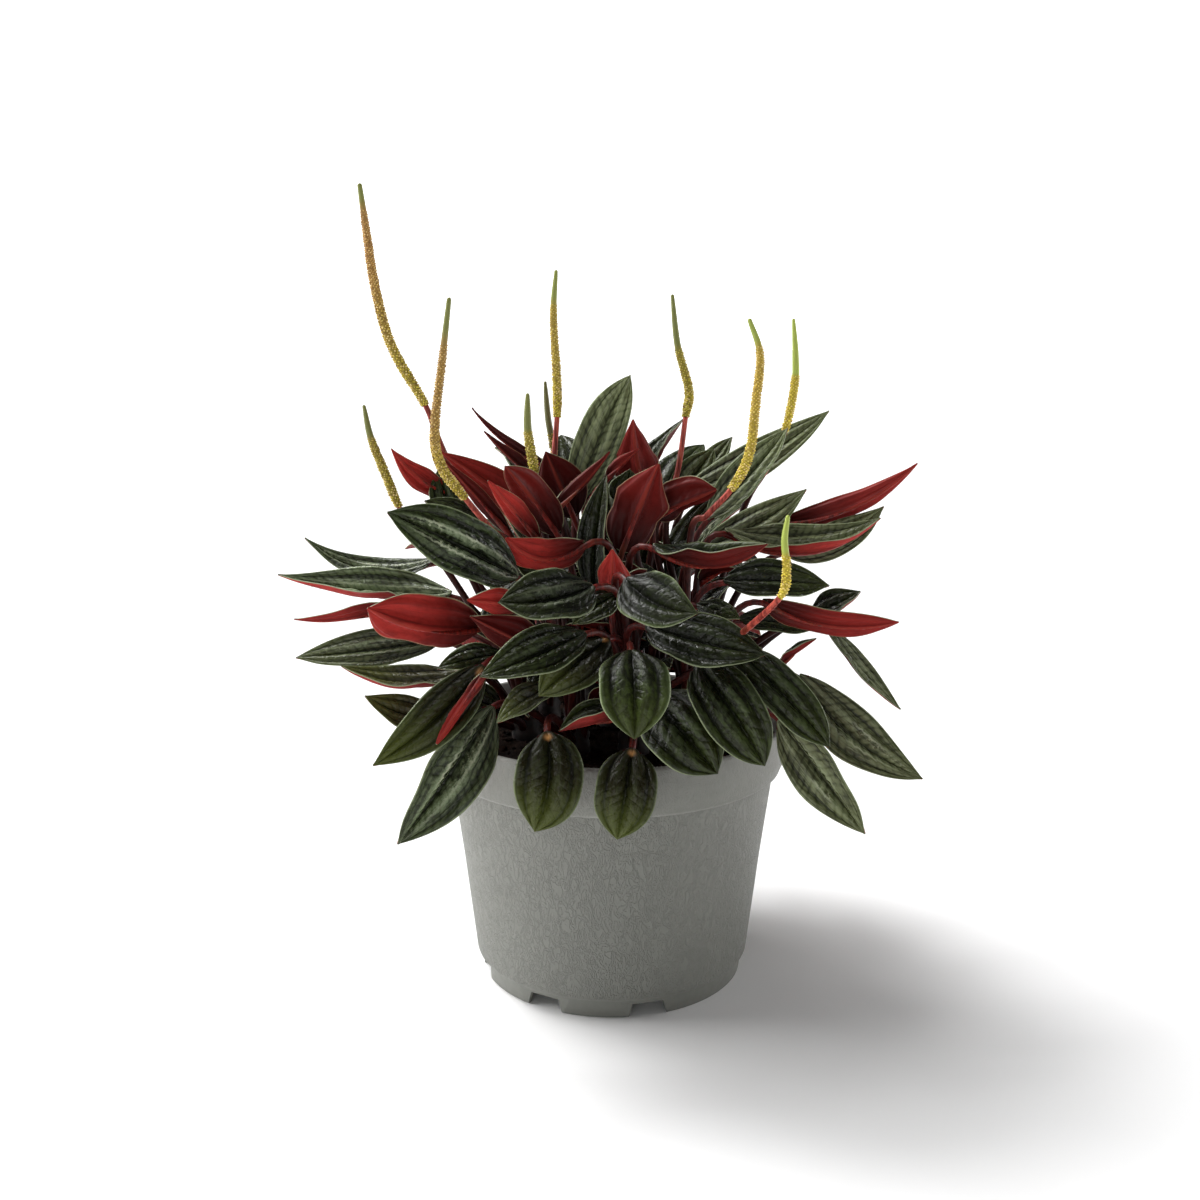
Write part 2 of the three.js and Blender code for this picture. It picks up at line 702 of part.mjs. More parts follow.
// A foot notch, wider at the ground, cut through the foot ring from outside.
function notchSolid(turn) {
  const [foot, top] = [NOTCH_WIDTH_FOOT / 2, NOTCH_WIDTH_TOP / 2];
  const shape = new THREE.Shape([
    new THREE.Vector2(-foot, -1),
    new THREE.Vector2(foot, -1),
    new THREE.Vector2(top, NOTCH_HEIGHT),
    new THREE.Vector2(-top, NOTCH_HEIGHT),
  ]);
  const prism = new THREE.ExtrudeGeometry(shape, { depth: NOTCH_DEPTH, bevelEnabled: false });
  prism.rotateX(Math.PI / 2).translate(0, NOTCH_DEPTH / 2 - FOOT_RADIUS, 0);
  return toSolid(prism.rotateZ(THREE.MathUtils.degToRad(turn)));
}

function potSolid() {
  let pot = lathe(POT_PROFILE, POT_SIDES);
  for (let k = 0; k < NOTCHES; k++) pot = pot.subtract(notchSolid(NOTCH_TURN + (k * 360) / NOTCHES));
  for (let k = 0; k < DRAINS; k++) {
    const heading = ((k + 0.5) / DRAINS) * 2 * Math.PI;
    const [x, y] = [DRAIN_CIRCLE * Math.cos(heading), DRAIN_CIRCLE * Math.sin(heading)];
    pot = pot.subtract(upright(DRAIN_RADIUS, 0, FLOOR_BOTTOM + WALL + 1, DRAIN_SIDES, x, y));
  }
  return pot.add(upright(PAD_RADIUS, 0, FLOOR_BOTTOM + 0.5, PAD_SIDES, 0, 0));
}

// The peat: the pot's inside less a small gap, with an uneven heaped top and a hole for each crown.

function soilHeight(radius, heading) {
  const heap = SOIL_HEAP * (1 - (radius / RIM_INNER_RADIUS) ** 2);
  const lumps = Math.sin(heading * 5 + radius * 0.4) + Math.sin(heading * 9 - radius * 0.7);
  return SOIL_LEVEL + heap + SOIL_LUMPS * lumps;
}

function soilSolid() {
  const skin = new Skin();
  const gap = WALL + 1.4 * CLEAR;
  const inside = [
    [WALL_FOOT_RADIUS - gap - 4, FLOOR_BOTTOM + WALL + CLEAR],
    [WALL_FOOT_RADIUS - gap - 1.4, FLOOR_BOTTOM + WALL + CLEAR + 2],
    [WALL_MID_RADIUS - gap, WALL_MID_HEIGHT],
    [WALL_TOP_RADIUS - gap, BAND_BOTTOM + 1.4],
    [RIM_INNER_RADIUS - 2 * CLEAR, BAND_BOTTOM + 5],
  ];
  const sides = POT_SIDES / 2;
  const headings = Array.from({ length: sides }, (_, k) => (k / sides) * 2 * Math.PI);
  const level = (radius, height) =>
    headings.map((angle) => new THREE.Vector3(radius * Math.cos(angle), radius * Math.sin(angle), height));
  const wall = inside.map(([radius, height]) => skin.ring(level(radius, height)));
  const top = Array.from({ length: SOIL_RINGS }, (_, k) => {
    const radius = (inside.at(-1)[0] * (SOIL_RINGS - k)) / SOIL_RINGS;
    const points = level(radius, 0);
    points.forEach((point, i) => point.setZ(soilHeight(radius, headings[i])));
    return skin.ring(points);
  });
  const rings = [...wall, ...top];
  skin.cap(rings[0], new THREE.Vector3(0, 0, inside[0][1]), false);
  for (let k = 1; k < rings.length; k++) skin.band(rings[k - 1], rings[k]);
  skin.cap(rings.at(-1), new THREE.Vector3(0, 0, soilHeight(0, 0)), true);
  const hole = ({ crown: [x, y] }) =>
    upright(CROWN_RADIUS + 1.4 * CLEAR, CROWN_FOOT - CLEAR, POT_HEIGHT, CROWN_SIDES, x, y);
  return ROSETTES.reduce((soil, rosette) => soil.subtract(hole(rosette)), skin.solid());
}

// The part: the pot, its peat, and every rosette with its own flower spikes.

const plant = new THREE.Group();
plant.name = "ripple_peperomia_in_nursery_pot";
plant.add(node("pot", potSolid(), colour(0x8f938c, 0.65)));
plant.add(node("soil", soilSolid(), colour(0x2a1d17, 0.95)));
const backs = backBlades();
let spikeNumber = 0;
for (const rosette of ROSETTES) {
  const own = backs.filter(({ owner }) => owner === rosette.name).map(({ blade }) => blade);
  plant.add(node("rosette_" + rosette.name, rosetteSolid(rosette, own), colour(0x2f4a33, 0.45)));
  for (const flower of rosette.spikes) {
    spikeNumber += 1;
    const name = "flower_spike_" + String(spikeNumber).padStart(2, "0");
    plant.add(node(name, spikeSolid(crownTop(rosette), flower), colour(0xa8a43c, 0.6)));
  }
}

export default plant;
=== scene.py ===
import math

import bpy
import numpy as np
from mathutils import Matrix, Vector, noise


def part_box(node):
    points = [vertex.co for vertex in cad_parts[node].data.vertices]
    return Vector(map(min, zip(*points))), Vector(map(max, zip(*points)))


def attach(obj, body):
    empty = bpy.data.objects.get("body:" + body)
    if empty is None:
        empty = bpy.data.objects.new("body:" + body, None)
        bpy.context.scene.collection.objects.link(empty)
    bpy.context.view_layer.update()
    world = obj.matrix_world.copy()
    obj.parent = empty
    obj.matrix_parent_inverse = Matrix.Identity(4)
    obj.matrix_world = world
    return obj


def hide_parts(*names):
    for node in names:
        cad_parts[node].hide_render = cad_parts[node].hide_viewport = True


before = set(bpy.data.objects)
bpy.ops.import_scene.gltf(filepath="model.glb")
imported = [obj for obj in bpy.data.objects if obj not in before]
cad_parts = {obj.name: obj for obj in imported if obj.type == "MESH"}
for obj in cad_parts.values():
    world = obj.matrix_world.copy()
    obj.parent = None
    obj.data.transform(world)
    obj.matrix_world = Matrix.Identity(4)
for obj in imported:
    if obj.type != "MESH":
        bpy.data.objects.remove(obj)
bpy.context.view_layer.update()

MM = 0.001

# Nursery pot.
# One thin moulding in grey-green plastic: a tapered wall with a leathery grain, a smoother rim band that
# stands out from the wall, and a smooth foot whose notches let water run out.

_, pot_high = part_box("pot")
RIM_RADIUS = pot_high.x
POT_HEIGHT = pot_high.z
RIM_INNER_RADIUS = RIM_RADIUS - 2.3 * MM
BAND_BOTTOM = POT_HEIGHT - 17 * MM
WALL = 1.8 * MM
WALL_TOP_RADIUS = RIM_RADIUS - 4.1 * MM
WALL_MID_RADIUS = RIM_RADIUS - 8.1 * MM
WALL_MID_HEIGHT = 44 * MM
WALL_FOOT_RADIUS = RIM_RADIUS - 12.3 * MM
FOOT_RADIUS = RIM_RADIUS - 14.7 * MM
FOOT_RING = 2.2 * MM
FOOT_HEIGHT = 7 * MM
FLOOR_BOTTOM = 4 * MM
PAD_RADIUS = 14 * MM
POT_SIDES = 160
# The foot has room for eight notches, and one of them is left out.
NOTCHES = 8
PLAIN_FOOT = 1
NOTCH_TURN = 15
NOTCH_WIDTH_FOOT = 14 * MM
NOTCH_WIDTH_TOP = 11 * MM
NOTCH_HEIGHT = 4.8 * MM
NOTCH_DEPTH = 15 * MM
CUTTER_DROP = 1 * MM
PANEL_MARGIN = 5.5 * MM
PANEL_HEIGHT = FOOT_HEIGHT - 1.2 * MM
PANEL_DEPTH = 0.35 * MM
PANEL_BLOCK = 5 * MM
DRAINS = 4
DRAIN_RADIUS = 4 * MM
DRAIN_CIRCLE = 30 * MM
DRAIN_CUTTER = 8 * MM
DRAIN_SIDES = 32
EDGE_ROUND = 0.35 * MM
CREASE = math.radians(40)


def alone(piece):
    """Selects one object and makes it the active one."""
    bpy.ops.object.select_all(action="DESELECT")
    piece.select_set(True)
    bpy.context.view_layer.objects.active = piece
    return piece


def added(primitive, **settings):
    """A new primitive, with nothing else selected."""
    bpy.ops.object.select_all(action="DESELECT")
    primitive(**settings)
    return bpy.context.object


def facing_out(piece):
    """Turns every face of a closed piece outwards."""
    alone(piece)
    bpy.ops.object.mode_set(mode="EDIT")
    bpy.ops.mesh.select_all(action="SELECT")
    bpy.ops.mesh.normals_make_consistent(inside=False)
    bpy.ops.object.mode_set(mode="OBJECT")
    return piece


def apply_modifier(piece, kind, **settings):
    modifier = piece.modifiers.new(kind.title(), kind)
    for key, value in settings.items():
        setattr(modifier, key, value)
    alone(piece)
    bpy.ops.object.modifier_apply(modifier=modifier.name)


def joined(pieces, name):
    """Joins objects into the first one of them."""
    alone(pieces[0])
    for piece in pieces:
        piece.select_set(True)
    bpy.ops.object.join()
    pieces[0].name = name
    return pieces[0]


def turned_shell(name, profile, sides):
    """A closed shell of the profile's radii and heights, drawn up ring by ring from a flat disc."""
    radius, height = profile[0]
    shell = added(bpy.ops.mesh.primitive_circle_add, vertices=sides, radius=radius, fill_type="NGON")
    shell.name = name
    bpy.ops.object.mode_set(mode="EDIT")
    bpy.ops.mesh.select_all(action="SELECT")
    bpy.ops.transform.translate(value=(0, 0, height))
    for next_radius, next_height in profile[1:]:
        rise = next_height - height
        bpy.ops.mesh.extrude_region_move(TRANSFORM_OT_translate={"value": (0, 0, rise)})
        share = next_radius / radius
        bpy.ops.transform.resize(value=(share, share, 1), center_override=(0, 0, next_height))
        radius, height = next_radius, next_height
    bpy.ops.object.mode_set(mode="OBJECT")
    return facing_out(shell)


def paint(red, green, blue):
    """A colour given as it looks on a screen, from 0 to 255, as the shader's own values."""
    values = []
    for level in (red, green, blue):
        share = level / 255
        values.append(share / 12.92 if share <= 0.04045 else ((share + 0.055) / 1.055) ** 2.4)
    return (*values, 1)


class Finish:
    """A material, whose nodes are added one at a time. Its colour is built up in coats."""

    def __init__(self, name, roughness, **sockets):
        self.material = bpy.data.materials.new(name)
        self.material.use_nodes = True
        self.tree = self.material.node_tree
        self.shader = self.tree.nodes["Principled BSDF"]
        self.set("Roughness", roughness)
        for socket, value in sockets.items():
            self.set(socket.replace("_", " "), value)

    def set(self, socket, value):
        self.feed(self.shader.inputs[socket], value)

    def feed(self, socket, value):
        if isinstance(value, bpy.types.NodeSocket):
            self.tree.links.new(value, socket)
        else:
            socket.default_value = value

    def add(self, kind, inputs, output=0, **settings):
        node = self.tree.nodes.new("ShaderNode" + kind)
        for key, value in settings.items():
            setattr(node, key, value)
        for key, value in inputs.items():
            self.feed(node.inputs[key], value)
        return node.outputs[output]

    def place(self):
        return self.add("TexCoord", {}, output="Object")

    def stretched(self, along):
        """Object coordinates with each direction drawn out by its own factor."""
        return self.add("Mapping", {"Vector": self.place(), "Scale": along})

    def parts(self, vector):
        """The three numbers of a vector."""
        node = self.tree.nodes.new("ShaderNodeSeparateXYZ")
        self.tree.links.new(vector, node.inputs[0])
        return list(node.outputs)

    def math(self, operation, first, second=0.0):
        return self.add("Math", {0: first, 1: second}, operation=operation)

    def product(self, *values):
        result = values[0]
        for value in values[1:]:
            result = self.math("MULTIPLY", result, value)
        return result

    def plus(self, first, second):
        return self.math("ADD", first, second)

    def minus(self, first, second):
        return self.math("SUBTRACT", first, second)

    def larger(self, first, second):
        return self.math("MAXIMUM", first, second)

    def distance(self, value, middle):
        """How far a value is from the middle, either way."""
        return self.math("ABSOLUTE", self.minus(value, middle))

    def ramp(self, value, low, high, start=0.0, end=1.0):
        """Runs smoothly from start to end as the value goes from low to high."""
        limits = {"Value": value, "From Min": low, "From Max": high, "To Min": start, "To Max": end}
        return self.add("MapRange", limits, interpolation_type="SMOOTHSTEP")

    def stripe(self, value, middle, half_width):
        """1 on a line where the value is in the middle, falling to 0 at the half width."""
        return self.ramp(self.distance(value, middle), 0.0, half_width, 1.0, 0.0)

    def mix(self, share, first, second):
        node = self.tree.nodes.new("ShaderNodeMix")
        node.data_type = "RGBA"
        self.feed(node.inputs[0], share)
        self.feed(node.inputs[6], first)
        self.feed(node.inputs[7], second)
        return node.outputs[2]

    def coat(self, share, *colour):
        """Lays one more colour over what is there already."""
        self.colour = self.mix(share, self.colour, paint(*colour))

    def done(self):
        self.set("Base Color", self.colour)
        return self.material

    def noise(self, scale, detail=2.0, distortion=0.0, vector=None):
        inputs = {"Scale": scale, "Detail": detail, "Distortion": distortion}
        inputs["Vector"] = self.place() if vector is None else vector
        return self.add("TexNoise", inputs)

    def bump(self, height, distance, strength=1.0):
        return self.add("Bump", {"Height": height, "Distance": distance, "Strength": strength})


POT_PROFILE = [
    (PAD_RADIUS, 0),
    (PAD_RADIUS, FLOOR_BOTTOM),
    (FOOT_RADIUS - FOOT_RING, FLOOR_BOTTOM),
    (FOOT_RADIUS - FOOT_RING, 0),
    (FOOT_RADIUS - 0.4 * MM, 0),
    (FOOT_RADIUS, 0.4 * MM),
    (FOOT_RADIUS + 0.7 * MM, FOOT_HEIGHT - 0.8 * MM),
    (FOOT_RADIUS + 1.2 * MM, FOOT_HEIGHT),
    (WALL_FOOT_RADIUS - 0.3 * MM, FOOT_HEIGHT + 0.4 * MM),
    (WALL_FOOT_RADIUS, FOOT_HEIGHT + 1.2 * MM),
    (WALL_MID_RADIUS, WALL_MID_HEIGHT),
    (WALL_TOP_RADIUS, BAND_BOTTOM - 2 * MM),
    (WALL_TOP_RADIUS, BAND_BOTTOM + 0.4 * MM),
    (WALL_TOP_RADIUS + 0.6 * MM, BAND_BOTTOM + 0.1 * MM),
    (WALL_TOP_RADIUS + 1.9 * MM, BAND_BOTTOM),
    (WALL_TOP_RADIUS + 2.6 * MM, BAND_BOTTOM + 0.5 * MM),
    (RIM_RADIUS - 1.1 * MM, BAND_BOTTOM + 1.7 * MM),
    (RIM_RADIUS - 0.4 * MM, BAND_BOTTOM + 3.4 * MM),
    (RIM_RADIUS, BAND_BOTTOM + 6 * MM),
    (RIM_RADIUS, POT_HEIGHT - 1.2 * MM),
    (RIM_RADIUS - 0.3 * MM, POT_HEIGHT - 0.4 * MM),
    (RIM_RADIUS - 0.9 * MM, POT_HEIGHT),
    (RIM_INNER_RADIUS + 0.6 * MM, POT_HEIGHT),
    (RIM_INNER_RADIUS + 0.1 * MM, POT_HEIGHT - 0.3 * MM),
    (RIM_INNER_RADIUS, POT_HEIGHT - 1 * MM),
    (RIM_INNER_RADIUS, BAND_BOTTOM + 4 * MM),
    (WALL_TOP_RADIUS - WALL, BAND_BOTTOM + 1 * MM),
    (WALL_MID_RADIUS - WALL, WALL_MID_HEIGHT),
    (WALL_FOOT_RADIUS - WALL - 1 * MM, FLOOR_BOTTOM + WALL + 1.5 * MM),
    (WALL_FOOT_RADIUS - WALL - 3 * MM, FLOOR_BOTTOM + WALL),
]


def block(width_foot, width_top, height, depth, radius, turn):
    """A block that tapers to its top, standing across the foot ring at a heading."""
    made = added(bpy.ops.mesh.primitive_cube_add, size=1)
    heading = math.radians(turn - 90)
    across = Vector((-math.sin(heading), math.cos(heading), 0))
    outward = Vector((math.cos(heading), math.sin(heading), 0))
    for corner in made.data.vertices:
        is_top = corner.co.z > 0
        width = width_top if is_top else width_foot
        level = height if is_top else -CUTTER_DROP
        flat = across * (corner.co.x * width) + outward * (radius + corner.co.y * depth)
        corner.co = flat + Vector((0, 0, level))
    return facing_out(made)


def cut(piece, cutter):
    apply_modifier(piece, "BOOLEAN", operation="DIFFERENCE", object=cutter, solver="EXACT")
    bpy.data.objects.remove(cutter)


pot = turned_shell("nursery_pot", POT_PROFILE, POT_SIDES)
turns = [NOTCH_TURN + k * 360 / NOTCHES for k in range(NOTCHES) if k != PLAIN_FOOT]
panel_width = NOTCH_WIDTH_FOOT + 2 * PANEL_MARGIN
panel_radius = FOOT_RADIUS + PANEL_BLOCK / 2 - PANEL_DEPTH
panels = []
notches = []
for turn in turns:
    panels.append(block(panel_width, panel_width, PANEL_HEIGHT, PANEL_BLOCK, panel_radius, turn))
    notches.append(block(NOTCH_WIDTH_FOOT, NOTCH_WIDTH_TOP, NOTCH_HEIGHT, NOTCH_DEPTH, FOOT_RADIUS, turn))
cut(pot, joined(panels, "panels"))
cut(pot, joined(notches, "notches"))
drain_size = {"vertices": DRAIN_SIDES, "radius": DRAIN_RADIUS, "depth": DRAIN_CUTTER}
drains = []
for k in range(DRAINS):
    heading = (k + 0.5) * 2 * math.pi / DRAINS
    spot = (DRAIN_CIRCLE * math.cos(heading), DRAIN_CIRCLE * math.sin(heading), FLOOR_BOTTOM)
    drains.append(added(bpy.ops.mesh.primitive_cylinder_add, location=spot, **drain_size))
cut(pot, joined(drains, "drains"))
apply_modifier(pot, "BEVEL", width=EDGE_ROUND, segments=2, limit_method="ANGLE", angle_limit=CREASE)
alone(pot)
bpy.ops.object.shade_smooth_by_angle(angle=CREASE)


def moulded_plastic():
    finish = Finish("moulded_grey_plastic", 0.55)
    height = finish.parts(finish.place())[2]
    mottle = finish.noise(420.0, 3.0)
    finish.colour = finish.mix(finish.noise(25.0, 3.0), paint(117, 118, 112), paint(125, 126, 119))
    finish.coat(finish.product(mottle, 0.22), 97, 98, 92)
    # Painted highlight: a pale line along the rim band's lower edge, where its lip catches the light.
    band_edge_highlight = finish.stripe(height, BAND_BOTTOM + 0.5 * MM, 0.7 * MM)
    finish.coat(finish.product(band_edge_highlight, 0.45), 150, 151, 145)
    wrinkles = finish.noise(430.0, 3.0, 1.8, finish.stretched((1.0, 1.0, 0.5)))
    leather = finish.ramp(finish.distance(wrinkles, 0.5), 0.0, 0.08)
    on_wall = finish.ramp(height, FOOT_HEIGHT, FOOT_HEIGHT + 1.5 * MM)
    off_band = finish.ramp(height, BAND_BOTTOM - 0.5 * MM, BAND_BOTTOM + 0.5 * MM, 1.0, 0.45)
    finish.set("Roughness", finish.ramp(mottle, 0.2, 0.8, 0.5, 0.62))
    finish.set("Normal", finish.bump(finish.product(leather, on_wall, off_band), 0.24 * MM, 0.9))
    return finish.done()


pot.data.materials.clear()
pot.data.materials.append(moulded_plastic())
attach(pot, "root")
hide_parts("pot")

# Peat.
# Dark, damp, fibrous peat, pressed into the pot up to just under its rim. Its heaped top is covered in
# loose crumbs and torn fibres.

SOIL_LEVEL = 85 * MM
SOIL_HEAP = 3 * MM
SOIL_GAP = 0.42 * MM
SOIL_SIDES = 220
SOIL_TOP_RINGS = 46
SOIL_CREASE = math.radians(50)
# The size and the rise of the lumps in its top, in millimetres.
SOIL_LUMPS = [(11, 1.5), (4.2, 1.0), (1.7, 0.6)]
CRUMBS = 620
CRUMB_SIZE = 0.45
CRUMB_SPREAD = 1.6
FIBRES = 150
FIBRE_LENGTHS = (3, 9)
FIBRE_WIDTHS = (0.15, 0.4)
SEED = 11
rng = np.random.default_rng(SEED)


def soil_height(x, y):
    radius = math.hypot(x, y)
    heap = SOIL_HEAP * (1 - (radius / RIM_INNER_RADIUS) ** 2)
    lumps = 0.0
    for size, rise in SOIL_LUMPS:
        lumps += rise * MM * noise.noise(Vector((x, y, size * MM)) / (size * MM))
    return SOIL_LEVEL + heap + lumps


soil_edge = RIM_INNER_RADIUS - 0.5 * MM
soil_profile = [
    (WALL_FOOT_RADIUS - WALL - SOIL_GAP - 4 * MM, FLOOR_BOTTOM + WALL + 0.3 * MM),
    (WALL_FOOT_RADIUS - WALL - SOIL_GAP - 1.4 * MM, FLOOR_BOTTOM + WALL + 2.3 * MM),
    (WALL_MID_RADIUS - WALL - SOIL_GAP, WALL_MID_HEIGHT),
    (WALL_TOP_RADIUS - WALL - SOIL_GAP, BAND_BOTTOM + 1.4 * MM),
    (soil_edge, BAND_BOTTOM + 5 * MM),
]
for k in range(SOIL_TOP_RINGS):
    soil_profile.append((soil_edge * (SOIL_TOP_RINGS - k) / SOIL_TOP_RINGS, SOIL_LEVEL))
peat = turned_shell("peat", soil_profile, SOIL_SIDES)
for corner in peat.data.vertices:
    if corner.co.z > SOIL_LEVEL - 1 * MM:
        corner.co.z = soil_height(corner.co.x, corner.co.y)


def on_soil(lift):
    """A random place on the peat's top."""
    radius = (soil_edge - 2 * MM) * math.sqrt(rng.random())
    heading = rng.random() * 2 * math.pi
    x, y = radius * math.cos(heading), radius * math.sin(heading)
    return Vector((x, y, soil_height(x, y) + lift))


def scattered(name, corners, faces):
    mesh = bpy.data.meshes.new(name)
    mesh.from_pydata(corners, [], faces)
    made = bpy.data.objects.new(name, mesh)
    bpy.context.scene.collection.objects.link(made)
    return made


def between_rings(first, steps, sides):
    """The faces that join rings of corners, which are numbered on from the first one."""
    faces = []
    for step in range(steps):
        for k in range(sides):
            near, far, turn = first + step * sides, first + (step + 1) * sides, (k + 1) % sides
            faces.append((near + k, near + turn, far + turn, far + k))
    return faces


def pattern_of(shape):
    """The corners and faces of a small shape that is copied many times. The shape itself goes."""
    corners = np.array([corner.co for corner in shape.data.vertices])
    faces = [tuple(face.vertices) for face in shape.data.polygons]
    bpy.data.objects.remove(shape)
    return corners, faces


def crumbs_and_fibres():
    """All the loose bits as one mesh: each crumb is a copy of one small ball, each fibre a bent sliver."""
    ball = added(bpy.ops.mesh.primitive_ico_sphere_add, subdivisions=1, radius=1)
    ball_corners, ball_faces = pattern_of(ball)
    corners, faces = [], []
    for _ in range(CRUMBS):
        size = (CRUMB_SIZE + CRUMB_SPREAD * rng.random() ** 2.5) * MM
        shape = ball_corners * rng.uniform(0.6, 1.3, 3) * rng.uniform(0.8, 1.2, (len(ball_corners), 1))
        spot = np.array(on_soil(0.25 * size))
        faces += [tuple(len(corners) + k for k in face) for face in ball_faces]
        corners += list(spot + shape * size)
    for _ in range(FIBRES):
        spot = np.array(on_soil(0.5 * MM))
        heading = rng.random() * 2 * math.pi
        along = np.array([math.cos(heading), math.sin(heading), rng.uniform(-0.1, 0.35)])
        side = np.array([-math.sin(heading), math.cos(heading), 0])
        length, width = rng.uniform(*FIBRE_LENGTHS) * MM, rng.uniform(*FIBRE_WIDTHS) * MM
        bow = rng.uniform(-1, 1) * MM
        first = len(corners)
        for share in (0, 0.33, 0.67, 1):
            middle = spot + along * length * (share - 0.5) + side * bow * math.sin(math.pi * share)
            for across, up in ((-1, -0.5), (1, -0.5), (0, 0.8)):
                corners.append(middle + side * width * across + np.array([0, 0, width * up]))
        faces += between_rings(first, 3, 3)
        faces.append((first + 2, first + 1, first))
        faces.append((first + 9, first + 10, first + 11))
    return scattered("loose_peat", corners, faces)


def damp_peat():
    finish = Finish("damp_peat", 0.95, Specular_IOR_Level=0.05)
    patches = finish.ramp(finish.noise(160.0, 4.0), 0.35, 0.65)
    specks = finish.noise(1300.0, 3.0)
    finish.colour = finish.mix(patches, paint(11, 7, 5), paint(28, 18, 13))
    finish.coat(finish.ramp(specks, 0.58, 0.75, 0.0, 0.4), 66, 47, 32)
    finish.set("Normal", finish.bump(specks, 0.4 * MM))
    return finish.done()


peat = joined([peat, crumbs_and_fibres()], "peat")
peat.data.materials.clear()
peat.data.materials.append(damp_peat())
alone(peat)
bpy.ops.object.shade_smooth_by_angle(angle=SOIL_CREASE)
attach(peat, "root")
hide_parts("soil")

# Rosettes of leaves.
# Nine crowns stand in the peat, each with its ribbed leaves on red stalks. A blade is one thin sheet, dark
# green with silver ridges above and wine red below, sunk along its veins and puckered between them.

# The plant is laid out in a front elevation seen from this point, in millimetres. A place (x, z, y) is its
# x and z on the plane y = 0, moved along the line of sight to its own depth y.
SIGHT = np.array([-4.3, -498, 240])
UP = np.array([0.0, 0, 1])
FRONT = np.array([0.0, -1, 0])
